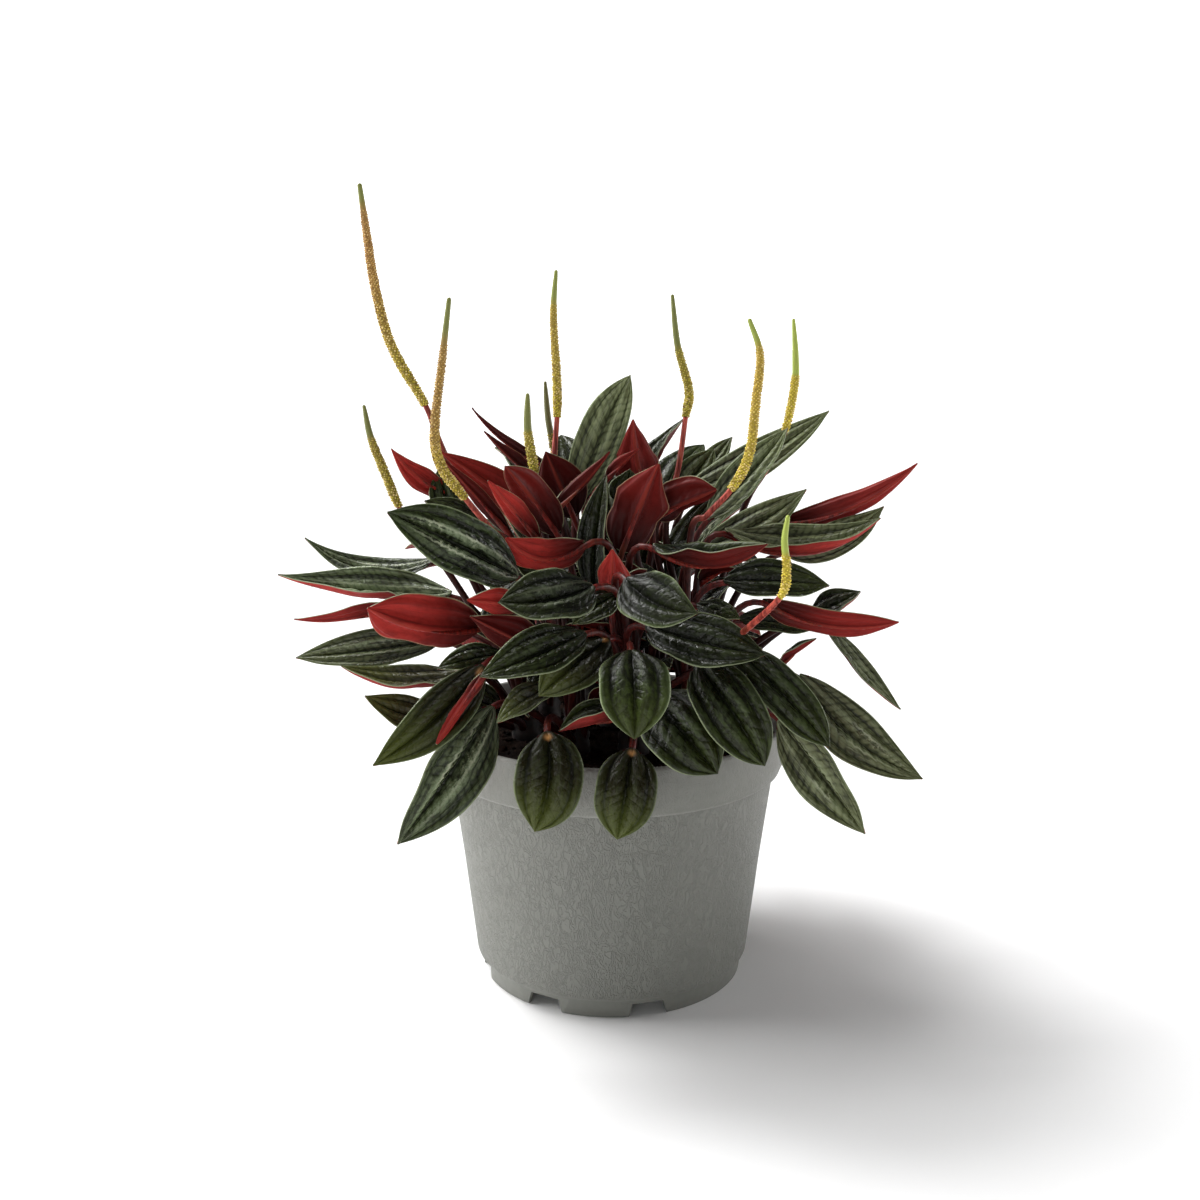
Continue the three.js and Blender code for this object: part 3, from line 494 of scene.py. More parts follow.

# Each rosette: where its crown stands; its leaves, one a row, as blade base x, z, y, blade tip x, z, y,
# width, turn, bend, sweep, cup, how blunt its tip is, the finish of its upper side and the light painted on
# the leaf, on both sides, from 0 to 9: a painted sheen on the brighter leaves and painted shade on the
# dimmer ones; and its flower stalks with the spike that each one carries. The turn is the angle in degrees
# of the upper side away from the front, 90 facing up and 180 facing back. The bend is how far the midrib
# arches to the upper side, and the sweep how far it bows to the left of its way to the tip as seen from the
# front. The cup is how far the two halves fold together, in degrees.
ROSETTES = [
    {"name": "centre", "crown": (0, 6), "leaves": [
        (-14, 166, -12, -23, 187, -16, 18, 178, 0, 0, 25, 1.6, "deep", 2),
        (-2, 178, -16, 9, 188, -14, 6, 150, 0, 0, 60, 1.3, "plain", 5),
        (-11, 174, -4, 6, 213, 6, 16, 5, 3, 1, 15, 2.4, "pale", 9),
        (12, 170, -6, 7, 198, -12, 21, 185, 0, 1, 50, 1.1, "plain", 5),
        (12, 181, 22, 24, 198, 34, 13, 75, 0, 0, 35, 1.3, "plain", 3),
        (5, 169, -20, 6, 181, -24, 13, 10, 0, 0, 20, 1.9, "deep", 5),
    ], "spikes": [
        {"stalk": [(-18, 163, -4), (-20, 182, -4), (-19, 199, -4)],
         "spike": [(-19, 212, -4), (-20, 233, -4), (-19, 248, -4)]},
        {"stalk": [(-16, 160, 10), (-20, 174, 10), (-20, 186, 10)],
         "spike": [(-22, 198, 10), (-23, 211, 10)]},
    ]},
    {"name": "front", "crown": (7, -26), "leaves": [
        (4, 154, -36, 16, 183, -50, 24, 180, 3, 0, 50, 0.85, "plain", 4),
        (-6, 138, -38, -2, 179, -34, 13, 35, 2, 0, 40, 1.9, "deep", 2),
        (-11, 154, -48, -37, 157, -58, 13, 165, -1, 5, 35, 3.2, "plain", 7),
        (17, 153, -54, 54, 155, -66, 17, 90, -2, -4, 52, 3.2, "fresh", 3),
        (15, 125, -68, 54, 115, -80, 19, 45, 2, -2, 15, 2.4, "plain", 2),
        (16, 98, -68, 38, 71, -86, 22, 12, 4, 0, 12, 3.2, "plain", 3),
        (7, 115, -82, 8, 84, -98, 21, 5, 4, 0, 10, 2.8, "bright", 3),
        (6, 141, -72, 30, 130, -88, 18, 30, 2, -3, 22, 2.3, "bright", 1),
        (-9, 139, -70, -40, 134, -84, 20, 48, 2, 3, 22, 2.4, "frosted", 2),
        (-3, 120, -62, -26, 100, -74, 17, 20, 3, 0, 15, 2.4, "olive", 3),
        (-12, 122, -72, -47, 107, -88, 17, 42, 3, 2, 20, 1.9, "plain", 4),
        (3, 93, -58, -19, 87, -64, 15, 78, 1, 1, 60, 1.9, "deep", 5),
        (7, 78, -70, 2, 46, -78, 19, 2, 3, 0, 8, 2.8, "olive", 4),
        (0, 133, -50, 0, 153, -58, 13, 175, 0, 0, 45, 1.3, "plain", 7),
        (0, 136, -56, -14, 126, -64, 12, 40, 1, 0, 15, 1.9, "deep", 5),
        (31, 133, -54, 45, 128, -60, 9, 60, 0, 0, 20, 1.9, "plain", 4),
    ], "spikes": [
        {"stalk": [(33, 112, -56), (47, 124, -76), (59, 136, -90)],
         "spike": [(61, 145, -92), (60, 156, -92), (61, 165, -92)]},
    ]},
    {"name": "front_left", "crown": (-13, -24), "leaves": [
        (-45, 92, -50, -78, 44, -64, 23, -20, 2, 0, 32, 1.9, "silver", 6),
        (-36, 145, -60, -78, 166, -80, 19, 28, 2, 0, 20, 2.8, "silver", 4),
        (-27, 158, -44, -43, 177, -54, 9, 175, 0, 0, 40, 1.3, "plain", 8),
        (-20, 160, -34, -37, 182, -48, 15, 175, 2, 0, 45, 1.9, "plain", 4),
        (-20, 167, -30, -1, 187, -24, 7, 150, 0, -1, 60, 1.3, "plain", 3),
        (-22, 103, -56, -41, 90, -60, 11, 50, 2, 0, 15, 1.9, "olive", 4),
        (-23, 84, -70, -28, 49, -80, 21, 0, 3, 2, 8, 2.8, "olive", 4),
        (-32, 133, -50, -51, 135, -54, 10, 165, 0, 0, 20, 1.6, "plain", 7),
        (-25, 116, -46, -50, 129, -52, 15, 165, 0, 0, 25, 1.3, "deep", 2),
        (-20, 142, -40, -36, 151, -46, 11, 40, 0, 0, 20, 1.9, "deep", 5),
    ], "spikes": [
        {"stalk": [(-32, 149, -44), (-42, 160, -52), (-51, 171, -58)],
         "spike": [(-59, 182, -62), (-61, 194, -62), (-58, 217, -60), (-55, 239, -60)]},
        {"stalk": [(-23, 156, -26), (-27, 169, -30), (-27, 180, -32)],
         "spike": [(-29, 194, -32), (-29, 207, -32)]},
    ]},
    {"name": "left_front", "crown": (-30, -8), "leaves": [
        (-61, 137, -8, -117, 144, 2, 21, 60, -3, 1, 60, 1.3, "silver", 7),
        (-49, 125, -42, -86, 132, -62, 22, 160, -2, 2, 30, 3.2, "plain", 7),
        (-64, 120, -12, -112, 114, -14, 15, 40, 1, 1, 20, 1.9, "frosted", 6),
        (-55, 108, -28, -96, 111, -30, 15, 72, 0, 5, 40, 1.9, "olive", 6),
        (-62, 91, -18, -88, 100, -22, 14, 50, 0, 2, 25, 1.9, "olive", 6),
        (-48, 108, -62, -86, 74, -84, 16, 8, 2, 2, 15, 1.9, "olive", 5),
        (-46, 107, -68, -63, 82, -80, 5, 175, 1, 0, 60, 3.2, "plain", 6),
        (-40, 94, -34, -57, 102, -40, 13, 50, 1, 0, 20, 1.9, "plain", 4),
        (-56, 163, -8, -60, 181, -2, 12, 20, 0, 0, 20, 1.9, "plain", 4),
        (-56, 172, -2, -76, 188, -14, 9, 185, 0, 2, 20, 1.3, "plain", 8),
        (-47, 163, -30, -65, 170, -34, 9, 40, 0, 0, 20, 1.9, "plain", 4),
        (-28, 163, -18, -59, 187, -26, 14, 165, 2, 0, 30, 1.3, "plain", 6),
        (-37, 160, -34, -59, 185, -36, 7, 170, 0, 0, 45, 1.3, "plain", 3),
        (-40, 115, -38, -62, 110, -44, 11, 50, 1, 0, 20, 1.9, "plain", 4),
    ], "spikes": [
        {"stalk": [(-49, 163, -12), (-60, 192, -18), (-64, 203, -20)],
         "spike": [(-75, 223, -22), (-80, 243, -22), (-82, 259, -22), (-84, 276, -22)]},
        {"stalk": [(-60, 149, -16), (-69, 158, -20), (-74, 168, -22)],
         "spike": [(-79, 181, -22), (-83, 192, -22), (-85, 203, -22)]},
    ]},
    {"name": "left_back", "crown": (-24, 14), "leaves": [
        (-65, 148, 28, -107, 157, 40, 14, 62, -3, 5, 20, 1.3, "silver", 6),
        (-75, 134, 12, -112, 128, 8, 11, 125, -2, 1, 30, 1.3, "silver", 6),
        (-22, 182, 22, -48, 202, 30, 6, 130, -1, 2, 60, 1.3, "deep", 1),
        (-25, 176, 4, -44, 194, 8, 7, 150, -1, 0, 60, 1.3, "deep", 1),
    ], "spikes": []},
    {"name": "back_left", "crown": (-8, 30), "leaves": [], "spikes": []},
    {"name": "back_right", "crown": (16, 28), "leaves": [
        (22, 170, 20, 35, 188, 28, 14, 20, 0, 0, 20, 1.9, "pale", 6),
        (30, 178, 38, 41, 192, 46, 9, 30, 0, 0, 20, 1.9, "pale", 6),
    ], "spikes": []},
    {"name": "right", "crown": (29, 6), "leaves": [
        (28, 174, 4, 74, 201, 12, 14, 30, -1, -2, 15, 1.9, "pale", 7),
        (33, 154, -6, 67, 174, -2, 13, 30, 0, -2, 15, 1.9, "pale", 7),
        (60, 162, 6, 105, 183, 2, 12, 168, -2, -4, 50, 1.6, "plain", 6),
        (62, 152, -6, 94, 168, 4, 13, 20, -2, -3, 20, 1.9, "frosted", 7),
        (71, 130, -14, 87, 138, -14, 13, 60, 0, -1, 40, 1.9, "deep", 5),
        (78, 123, -14, 103, 95, -20, 9, 50, -2, 0, 35, 1.9, "ashen", 7),
    ], "spikes": [
        {"stalk": [(15, 156, 2), (22, 178, 0), (25, 199, 0)],
         "spike": [(26, 208, 0), (22, 223, 0), (20, 240, 0)]},
        {"stalk": [(44, 163, 4), (53, 181, 0), (59, 194, -2)],
         "spike": [(62, 210, -2), (62, 220, -2), (61, 232, -2)]},
    ]},
    {"name": "front_right", "crown": (25, -16), "leaves": [
        (15, 165, -24, 36, 174, -34, 17, 150, 0, 0, 50, 3.2, "plain", 3),
        (35, 166, -12, 60, 195, -10, 15, 40, 0, -1, 30, 1.9, "pale", 7),
        (43, 158, -22, 93, 164, -14, 22, 74, -2, -7, 50, 1.9, "frosted", 7),
        (42, 142, -48, 76, 140, -42, 16, 50, 1, 0, 15, 1.9, "deep", 5),
        (56, 133, -38, 101, 127, -34, 11, 155, 1, -5, 25, 3.2, "plain", 6),
        (47, 128, -22, 74, 125, -18, 11, 50, 0, 0, 20, 1.9, "plain", 4),
        (59, 112, -30, 72, 121, -34, 8, 100, 0, 0, 35, 1.9, "plain", 5),
        (69, 104, -34, 112, 69, -46, 19, 30, 1, -4, 12, 1.9, "ashen", 7),
        (62, 88, -54, 92, 48, -68, 18, -20, 2, 1, 32, 1.9, "ashen", 7),
        (46, 115, -70, 78, 81, -86, 14, 22, 3, 0, 15, 3.2, "plain", 4),
        (32, 110, -72, 55, 74, -88, 19, 12, 4, 0, 12, 3.2, "plain", 4),
    ], "spikes": [
        {"stalk": [(27, 156, -40), (33, 165, -44), (41, 174, -46)],
         "spike": [(47, 186, -48), (49, 205, -48), (50, 220, -48), (46, 232, -48)]},
    ]},
]

# The back of the mound, filled by rule: tiers of leaves round the centre, dealt to the rosette they face.
# Each tier: how many leaves, between which headings they stand, the radius and the rise of their bases and
# of their tips, and their width. Headings and rises are in degrees.
MOUND_CENTRE = np.array([0.0, 4, 112])
BACK_TIERS = [
    {"count": 6, "headings": (57, 123), "base": (66, 8), "tip": (112, -14), "width": 20},
    {"count": 6, "headings": (30, 150), "base": (60, 34), "tip": (100, 20), "width": 20},
    {"count": 4, "headings": (52, 140), "base": (62, 60), "tip": (94, 52), "width": 17},
    {"count": 7, "headings": (12, 168), "base": (38, 46), "tip": (71, 50), "width": 16},
]
BACK_BEND = 3
BACK_CUP = 20
BACK_SCATTER = 5
BACK_PAINTED_LIGHT = 5
BACK_SEED = 7
BACK_CROWNS = ["right", "back_right", "back_left", "left_back"]
BACK_FINISHES = ["plain", "silver", "plain", "frosted", "deep"]

# Crowns. The bark lies inside the radius that the stalks are rooted at, and carries scars in rings.
CROWN_RADIUS = 7.5
CROWN_TOP_RADIUS = 5
CROWN_SHOULDER = 90
CROWN_TOP = 104
CROWN_FOOT = 74
CROWN_RINGS = 22
CROWN_SIDES = 20
BARK_INSET = 2.2
SCARS_ROUND = 4
SCAR_HEIGHT = 0.35
SCAR_RING_STEP = 3
SCAR_RING = 0.3
SCAR_GROOVE = 0.2

# Stalks. Their foot and top are shares of their radius.
ROOT_DEPTH = 4.5
HIGHEST_ROOT = CROWN_TOP - 1
STALK_RISE_AT = 0.33
STALK_RISE = 0.12
STALK_ARRIVAL = 0.32
STALK_RADIUS = 1.25
STALK_FOOT = 1.2
STALK_TOP = 0.8
STALK_SIDES = 10
STALK_STEPS = 15
KEEL_FROM = 0.03
KEEL_TO = 0.42
KEEL_STEPS = 8
KEEL_END = 0.12
KEEL_SINK = 0.15
FLOWER_STALK_RADIUS = 1.25
FLOWER_STALK_TAPER = 0.35
FLOWER_STALK_STEPS = 30
FLOWER_STALK_OVERLAP = 0.004

# Blades. Places along are shares of the length, and places across and heights shares of the half width.
WIDEST = 0.42
BLUNTNESS = 1.9
BASE_WIDTH = 0.05
BASE_TO = 0.15
OPENING = 0.25
FOLD_SHARE = 0.5
CURL_SHARE = 0.7
LEAST_CURL = 1e-3
LOBES = 0.085
LOBES_TO = 0.3
MARGIN_WAVE = 0.07
MARGIN_WAVES = 11
CREST_AT = 0.36
VEIN_AT = 0.66
VEIN_DEPTH = 0.09
INNER_RIB = 0.22
OUTER_RIB = 0.11
OUTER_RIB_TO = 1.06
PUCKER = 0.09
PUCKER_OUTER = 0.55
PUCKER_ROUNDNESS = 0.6
PUCKER_LEVEL = 0.6
PUCKER_STEP = 3.2
PUCKER_SLANT = 0.8
PUCKER_FROM = 0.1
PUCKER_WANDER = 0.22
PUCKER_SHAKE = 0.12
LEAF_THICKNESS = 0.6
THIN_FROM = 0.85
EDGE_THINNING = 0.55
COLUMNS_GATHERED = 0.06
ROWS_GATHERED = 0.12

# Small young leaves that fill each rosette's heart, by rule: their ways out and heights above the peat.
INNER_LEAVES = 8
INNER_LOW = 102
INNER_HIGH = 150
INNER_BASE = 8
INNER_TIP = 26
INNER_WIDTH = 12.5
INNER_TURN = 2.4
INNER_FIRST_TURN = 0.05
INNER_LIFT = 4
INNER_DROOP = 7
INNER_DROOP_TURN = 5
INNER_BEND = 1.5
INNER_CUP = 30
# The heart's leaves get no painted light, so painted shade makes them dark.
INNER_PAINTED_LIGHT = 0

# The silver, the olive brown and the light green in the upper side of each kind of leaf, from 0 to 1, and
# how deep its puckers are.
FINISHES = {
    "plain": (0.3, 0.15, 0.1, 1.0),
    "silver": (1.0, 0.0, 0.1, 1.1),
    "frosted": (0.75, 0.3, 0.15, 0.9),
    "ashen": (0.85, 0.3, 0.1, 1.2),
    "olive": (0.1, 0.8, 0.2, 0.9),
    "deep": (0.15, 0.2, 0.0, 0.7),
    "pale": (0.7, 0.2, 0.4, 0.8),
    "fresh": (0.3, 0.1, 0.3, 0.45),
    "bright": (0.1, 0.2, 0.45, 0.3),
}


def seen(place):
    """A place in the front elevation, at its own depth."""
    x, z, y = place
    return SIGHT + (np.array([x, 0, z]) - SIGHT) * (y - SIGHT[1]) / -SIGHT[1]


def unit(vectors):
    return vectors / np.linalg.norm(vectors, axis=-1, keepdims=True)


def without(vectors, directions):
    """Vectors less what they hold of the unit directions."""
    return vectors - np.sum(vectors * directions, axis=-1, keepdims=True) * directions


def outline(t, bluntness):
    """The blade's half width along its length, as a share: round at the base, pointed at the tip."""
    rounded = (1 - np.clip((WIDEST - t) / WIDEST, 0, 1) ** (1.2 + 0.5 * bluntness)) ** 0.5
    pointed = 1 - np.clip((t - WIDEST) / (1 - WIDEST), 0, 1) ** bluntness
    heel = BASE_WIDTH * np.clip(1 - t / BASE_TO, 0, 1)
    return np.where(t < WIDEST, np.hypot(rounded, heel), pointed)


def ribs(a):
    """Height of ribs over sunken veins at a share of the way from midrib to edge, in half widths."""
    slope = np.where(a < CREST_AT, a / CREST_AT, (VEIN_AT - a) / (VEIN_AT - CREST_AT))
    past_vein = np.clip((a - VEIN_AT) / (OUTER_RIB_TO - VEIN_AT), 0, 1)
    inner = INNER_RIB * (1 - np.abs(1 - slope) ** 1.5)
    outer = OUTER_RIB * np.sin(np.pi * past_vein) ** 0.8
    return np.where(a < VEIN_AT, inner, outer) - VEIN_DEPTH


def smoothed(mesh):
    mesh.polygons.foreach_set("use_smooth", [True] * len(mesh.polygons))


class Blade:
    """The sheet of one leaf: u runs across it from -1 to 1, and t from its base to its tip."""

    def __init__(self, base, tip, facing, width, turn, bend, sweep, cup, blunt=BLUNTNESS, puckered=1.0):
        self.base = base
        self.length = np.linalg.norm(tip - base)
        self.axis = (tip - base) / self.length
        outward = unit(without(facing, self.axis))
        leftward = np.cross(outward, self.axis)
        across = -leftward if leftward[2] <= 0 else leftward
        angle = math.radians(turn)
        self.normal = outward * math.cos(angle) + across * math.sin(angle)
        self.half = width / 2
        self.bluntness = blunt
        self.pucker = PUCKER * puckered
        self.arch = self.normal * bend + leftward * sweep
        self.cup = math.radians(cup)

    def midrib(self, t):
        t = np.asarray(t, float)[..., None]
        return self.base + self.axis * self.length * t + self.arch * 4 * t * (1 - t)

    def frame_at(self, t):
        """The way along the bent midrib, the sheet's normal and its width direction."""
        t = np.asarray(t, float)[..., None]
        along = unit(self.axis * self.length + self.arch * 4 * (1 - 2 * t))
        normal = unit(without(self.normal + 0 * along, along))
        return along, normal, np.cross(along, normal)

    def pucker_phase(self, u, t):
        """Counts the pillows between the side veins, which leave the midrib at a slant. The two halves of
        the blade are half a pillow out of step, and the veins stand a little unevenly."""
        a = np.abs(u)
        wander = PUCKER_WANDER * np.sin(9 * t + self.length) + PUCKER_SHAKE * np.sin(23 * t + 3 * a)
        shift = np.where(u < 0, 0.5, 0)
        return (t * self.length - PUCKER_SLANT * a * self.half) / PUCKER_STEP + wander + shift

    def puckers(self, u, t):
        """Height of the pillows, strongest between the midrib and the side vein."""
        a = np.abs(u)
        pillow = np.abs(np.sin(np.pi * self.pucker_phase(u, t))) ** PUCKER_ROUNDNESS - PUCKER_LEVEL
        inner = np.sin(np.pi * np.clip(a / VEIN_AT, 0, 1)) ** 0.7
        outer = PUCKER_OUTER * np.sin(np.pi * np.clip((a - VEIN_AT) / (1 - VEIN_AT), 0, 1))
        fade = np.clip(t / PUCKER_FROM, 0, 1) * (1 - t**6)
        return self.pucker * pillow * np.where(a < VEIN_AT, inner, outer) * fade

    def sheet(self, u, t):
        """Points of the blade: its halves fold together and curl, over the ribs, puckers and waves."""
        a = np.abs(u)
        half = self.half * outline(t, self.bluntness)
        opened = np.clip(t / OPENING, 0, 1)
        fold = self.cup * FOLD_SHARE * opened
        curl = np.maximum(self.cup * CURL_SHARE * opened, LEAST_CURL)
        slope = fold + curl * a
        reach = half * (np.sin(slope) - np.sin(fold)) / curl
        rise = half * (np.cos(fold) - np.cos(slope)) / curl
        sign = np.sign(u)
        wave = MARGIN_WAVE * a * a * np.sin(MARGIN_WAVES * t + self.length + 2 * sign)
        raised = half * (ribs(a) + self.puckers(u, t) + wave)
        along, normal, side = self.frame_at(t)
        lobe = LOBES * self.length * np.clip(1 - t / LOBES_TO, 0, 1) ** 2
        back = lobe * (0.6 + 0.4 * np.sin(np.pi * a))
        sideways = sign * (reach - raised * np.sin(slope))
        upwards = rise + raised * np.cos(slope)
        off_midrib = side * sideways[:, None] + normal * upwards[:, None] - along * back[:, None]
        return self.midrib(t) + off_midrib


def leaf_blank(columns, rows):
    """A flat sheet with its rows closest at the ends and its columns closest at the midrib and edges."""
    blank = added(bpy.ops.mesh.primitive_grid_add, x_subdivisions=columns, y_subdivisions=rows, size=2)
    mesh = blank.data
    corners = np.empty(len(mesh.vertices) * 3)
    mesh.vertices.foreach_get("co", corners)
    across, along = corners.reshape(-1, 3)[:, 0], corners.reshape(-1, 3)[:, 1] / 2 + 0.5
    share = np.abs(across)
    u = np.sign(across) * (share - COLUMNS_GATHERED * np.sin(2 * np.pi * share))
    t = along - ROWS_GATHERED * np.sin(2 * np.pi * along)
    loops = np.empty(len(mesh.loops), np.int32)
    mesh.loops.foreach_get("vertex_index", loops)
    places = np.stack([(u[loops] + 1) / 2, t[loops]], axis=1)
    mesh.uv_layers.active.data.foreach_set("uv", places.ravel())
    thin_edge = blank.vertex_groups.new(name="thickness")
    thinning = EDGE_THINNING * np.clip((np.abs(u) - THIN_FROM) / (1 - THIN_FROM), 0, 1)
    for corner, less in enumerate(thinning):
        thin_edge.add([corner], float(1 - less), "REPLACE")
    return blank, u, t


def tube(name, path, radii, sides, material):
    """A round tube along a path of points in millimetres; its UV map runs round it and along it."""
    path = np.asarray(path, float)
    ways = unit(np.gradient(path, axis=0))
    side = unit(np.cross(ways[0], UP if abs(ways[0][2]) < 0.9 else FRONT))
    angles = np.arange(sides) * 2 * np.pi / sides
    rings = []
    for middle, way, radius in zip(path, ways, radii):
        side = unit(without(side, way))
        lift = np.cross(way, side)
        ring = np.cos(angles)[:, None] * side + np.sin(angles)[:, None] * lift
        rings.append(middle + ring * np.asarray(radius).reshape(-1, 1))
    corners = np.concatenate([*rings, path[:1], path[-1:]]) * MM
    steps = len(path) - 1
    faces = between_rings(0, steps, sides)
    first, last = len(path) * sides, len(path) * sides + 1
    for k in range(sides):
        turn = (k + 1) % sides
        faces.append((turn, k, first))
        faces.append((steps * sides + k, steps * sides + turn, last))
    made = scattered(name, corners.tolist(), faces)
    uv = made.data.uv_layers.new(name="UVMap")
    for face in made.data.polygons:
        at_seam = any(corner % sides == sides - 1 for corner in face.vertices if corner < first)
        for loop in face.loop_indices:
            corner = made.data.loops[loop].vertex_index
            around = (corner % sides) / sides
            if at_seam and corner % sides == 0 and corner < first:
                around = 1.0
            level = corner // sides / steps if corner < first else float(corner == last)
            uv.data[loop].uv = (around, min(level, 1.0))
    made.data.materials.append(material)
    smoothed(made.data)
    return made


def bezier(points, t):
    a, b, c, d = points
    t = np.asarray(t)[:, None]
    return a * (1 - t) ** 3 + 3 * b * t * (1 - t) ** 2 + 3 * c * t**2 * (1 - t) + d * t**3


def leaf_stalk(root, blade):
    """A stalk from its crown to the blade, where it runs on under the sheet as the midrib's keel."""
    reach = blade.base - root
    length = np.linalg.norm(reach)
    keel_at = np.linspace(KEEL_FROM, KEEL_TO, KEEL_STEPS)
    along, normal, _ = blade.frame_at(keel_at)
    keel_radii = STALK_RADIUS * STALK_TOP * (1 - keel_at / KEEL_TO) ** 0.8 + KEEL_END
    midline = blade.sheet(0 * keel_at, keel_at)
    keel = midline - normal * (LEAF_THICKNESS / 2 + 0.55 * keel_radii[:, None] - KEEL_SINK)
    rising = root + reach * STALK_RISE_AT + UP * STALK_RISE * length
    arriving = keel[0] - along[0] * STALK_ARRIVAL * length
    climb = np.linspace(0, 1, STALK_STEPS)
    path = np.concatenate([bezier((root, rising, arriving, keel[0]), climb), keel[1:]])
    stalk_radii = STALK_RADIUS * (STALK_FOOT - (STALK_FOOT - STALK_TOP) * climb)
    radii = np.concatenate([stalk_radii, keel_radii[1:]])
    return tube("leaf_stalk", path, radii, STALK_SIDES, leaf_stalk_finish)


def leaf(root, blade, look, brightness, blank):
    """One leaf: a blank pressed to the blade's form and given its thickness, on its stalk."""
    flat, u, t = blank
    sheet = flat.copy()
    sheet.data = flat.data.copy()
    bpy.context.scene.collection.objects.link(sheet)
    mesh = sheet.data
    mesh.vertices.foreach_set("co", (blade.sheet(u, t) * MM).ravel())
    silver, olive, light, _ = FINISHES[look]
    # The fourth tone is the light painted on the leaf, from 0 to 1.
    colours = np.tile([silver, olive, light, brightness / 9], (len(u), 1))
    mesh.attributes.new("leaf_tones_and_light", "FLOAT_COLOR", "POINT").data.foreach_set("color", colours.ravel())
    mesh.attributes.new("pucker", "FLOAT", "POINT").data.foreach_set("value", blade.pucker_phase(u, t))
    for material in (upper_finish, under_finish, edge_finish):
        mesh.materials.append(material)
    smoothed(mesh)
    faces = {"material_offset": 1, "material_offset_rim": 2}
    thickness = {"thickness": LEAF_THICKNESS * MM, "offset": 0, "vertex_group": "thickness"}
    apply_modifier(sheet, "SOLIDIFY", **thickness, **faces)
    return [sheet, leaf_stalk(root, blade)]


def seeded(seed):
    """Numbers from 0 to 1 in a fixed order."""
    state = seed
    while True:
        state = (state * 16807) % 2147483647
        yield state / 2147483647


def on_mound(heading, rise, radius):
    """A point of the mound at a heading, a height angle and a radius."""
    level = radius * math.cos(rise)
    way = [level * math.cos(heading), level * math.sin(heading), radius * math.sin(rise)]
    return MOUND_CENTRE + np.array(way)


def scatter(numbers):
    """The next number of a fixed order, stretched to the back leaves' scatter either way."""
    return (next(numbers) - 0.5) * 2 * BACK_SCATTER


def back_leaves():
    """The leaves of the mound's back, each with the rosette that it belongs to."""
    numbers = seeded(BACK_SEED)
    leaves = []
    for tier in BACK_TIERS:
        first, last = tier["headings"]
        base_radius, base_height = tier["base"]
        tip_radius, tip_height = tier["tip"]
        step = (last - first) / (tier["count"] - 1)
        for k in range(tier["count"]):
            heading = math.radians(first + k * step + scatter(numbers) / 2)
            base_rise = math.radians(base_height + scatter(numbers) / 2)
            tip_rise = math.radians(tip_height + scatter(numbers) / 2)
            base = on_mound(heading, base_rise, base_radius)
            tip = on_mound(heading, tip_rise, tip_radius + scatter(numbers))
            width = tier["width"] + scatter(numbers) / 3
            owner = BACK_CROWNS[int(heading / math.pi * len(BACK_CROWNS))]
            look = BACK_FINISHES[len(leaves) % len(BACK_FINISHES)]
            blade = Blade(base, tip, UP, width, 0, BACK_BEND, 0, BACK_CUP)
            leaves.append((owner, blade, look, BACK_PAINTED_LIGHT, back_blank))
    return leaves


def inner_leaves(crown):
    """The small leaves in a rosette's heart, painted dark as shade, turned round it like a spiral stair."""
    leaves = []
    for k in range(INNER_LEAVES):
        heading = k * INNER_TURN + INNER_FIRST_TURN * crown[0]
        out = np.array([math.cos(heading), math.sin(heading), 0])
        height = INNER_LOW + (INNER_HIGH - INNER_LOW) * (k + 0.5) / INNER_LEAVES
        foot = np.array([*crown, height]) + out * INNER_BASE
        droop = INNER_DROOP * math.sin(INNER_DROOP_TURN * k + crown[1])
        tip = np.array([*crown, height + INNER_LIFT + droop]) + out * INNER_TIP
        blade = Blade(foot, tip, UP, INNER_WIDTH, 0, INNER_BEND, 0, INNER_CUP)
        leaves.append((blade, "deep", INNER_PAINTED_LIGHT, inner_blank))
    return leaves


def front_leaf(row):
    """A leaf of the table, with its manner: its look, the light painted on it and the blank it is pressed
    from.
    """
    bx, bz, by, tx, tz, ty, width, turn, bend, sweep, cup, bluntness, look, brightness = row
    base, tip = seen((bx, bz, by)), seen((tx, tz, ty))
    blade = Blade(base, tip, FRONT, width, turn, bend, sweep, cup, bluntness, FINISHES[look][3])
    return blade, look, brightness, front_blank


def root_point(crown, blade, rank):
    """Where a leaf stalk starts: the lowest leaves low on the crown's flank, the highest near its top."""
    x, y = crown
    heading = math.atan2(blade.base[1] - y, blade.base[0] - x)
    out = (CROWN_RADIUS - ROOT_DEPTH) * (1 - rank)
    height = CROWN_SHOULDER + (HIGHEST_ROOT - CROWN_SHOULDER) * rank
    return np.array([x + out * math.cos(heading), y + out * math.sin(heading), height])


def crown_stem(crown):
    """The short woody stem that a rosette's stalks grow from, in rough rings of old leaf scars."""
    heights = np.linspace(CROWN_FOOT, CROWN_TOP, CROWN_RINGS)
    around = np.arange(CROWN_SIDES) * 2 * np.pi * SCARS_ROUND / CROWN_SIDES
    path = [(crown[0], crown[1], height) for height in heights]
    radii = []
    for k, height in enumerate(heights):
        taper = np.clip((height - CROWN_SHOULDER) / (CROWN_TOP - CROWN_SHOULDER), 0, 1)
        radius = CROWN_RADIUS - (CROWN_RADIUS - CROWN_TOP_RADIUS) * taper
        ring = SCAR_RING if k % SCAR_RING_STEP else -SCAR_GROOVE
        radii.append(radius - BARK_INSET + SCAR_HEIGHT * np.sin(around + k) + ring)
    return tube("crown_stem", path, radii, CROWN_SIDES, bark_finish)


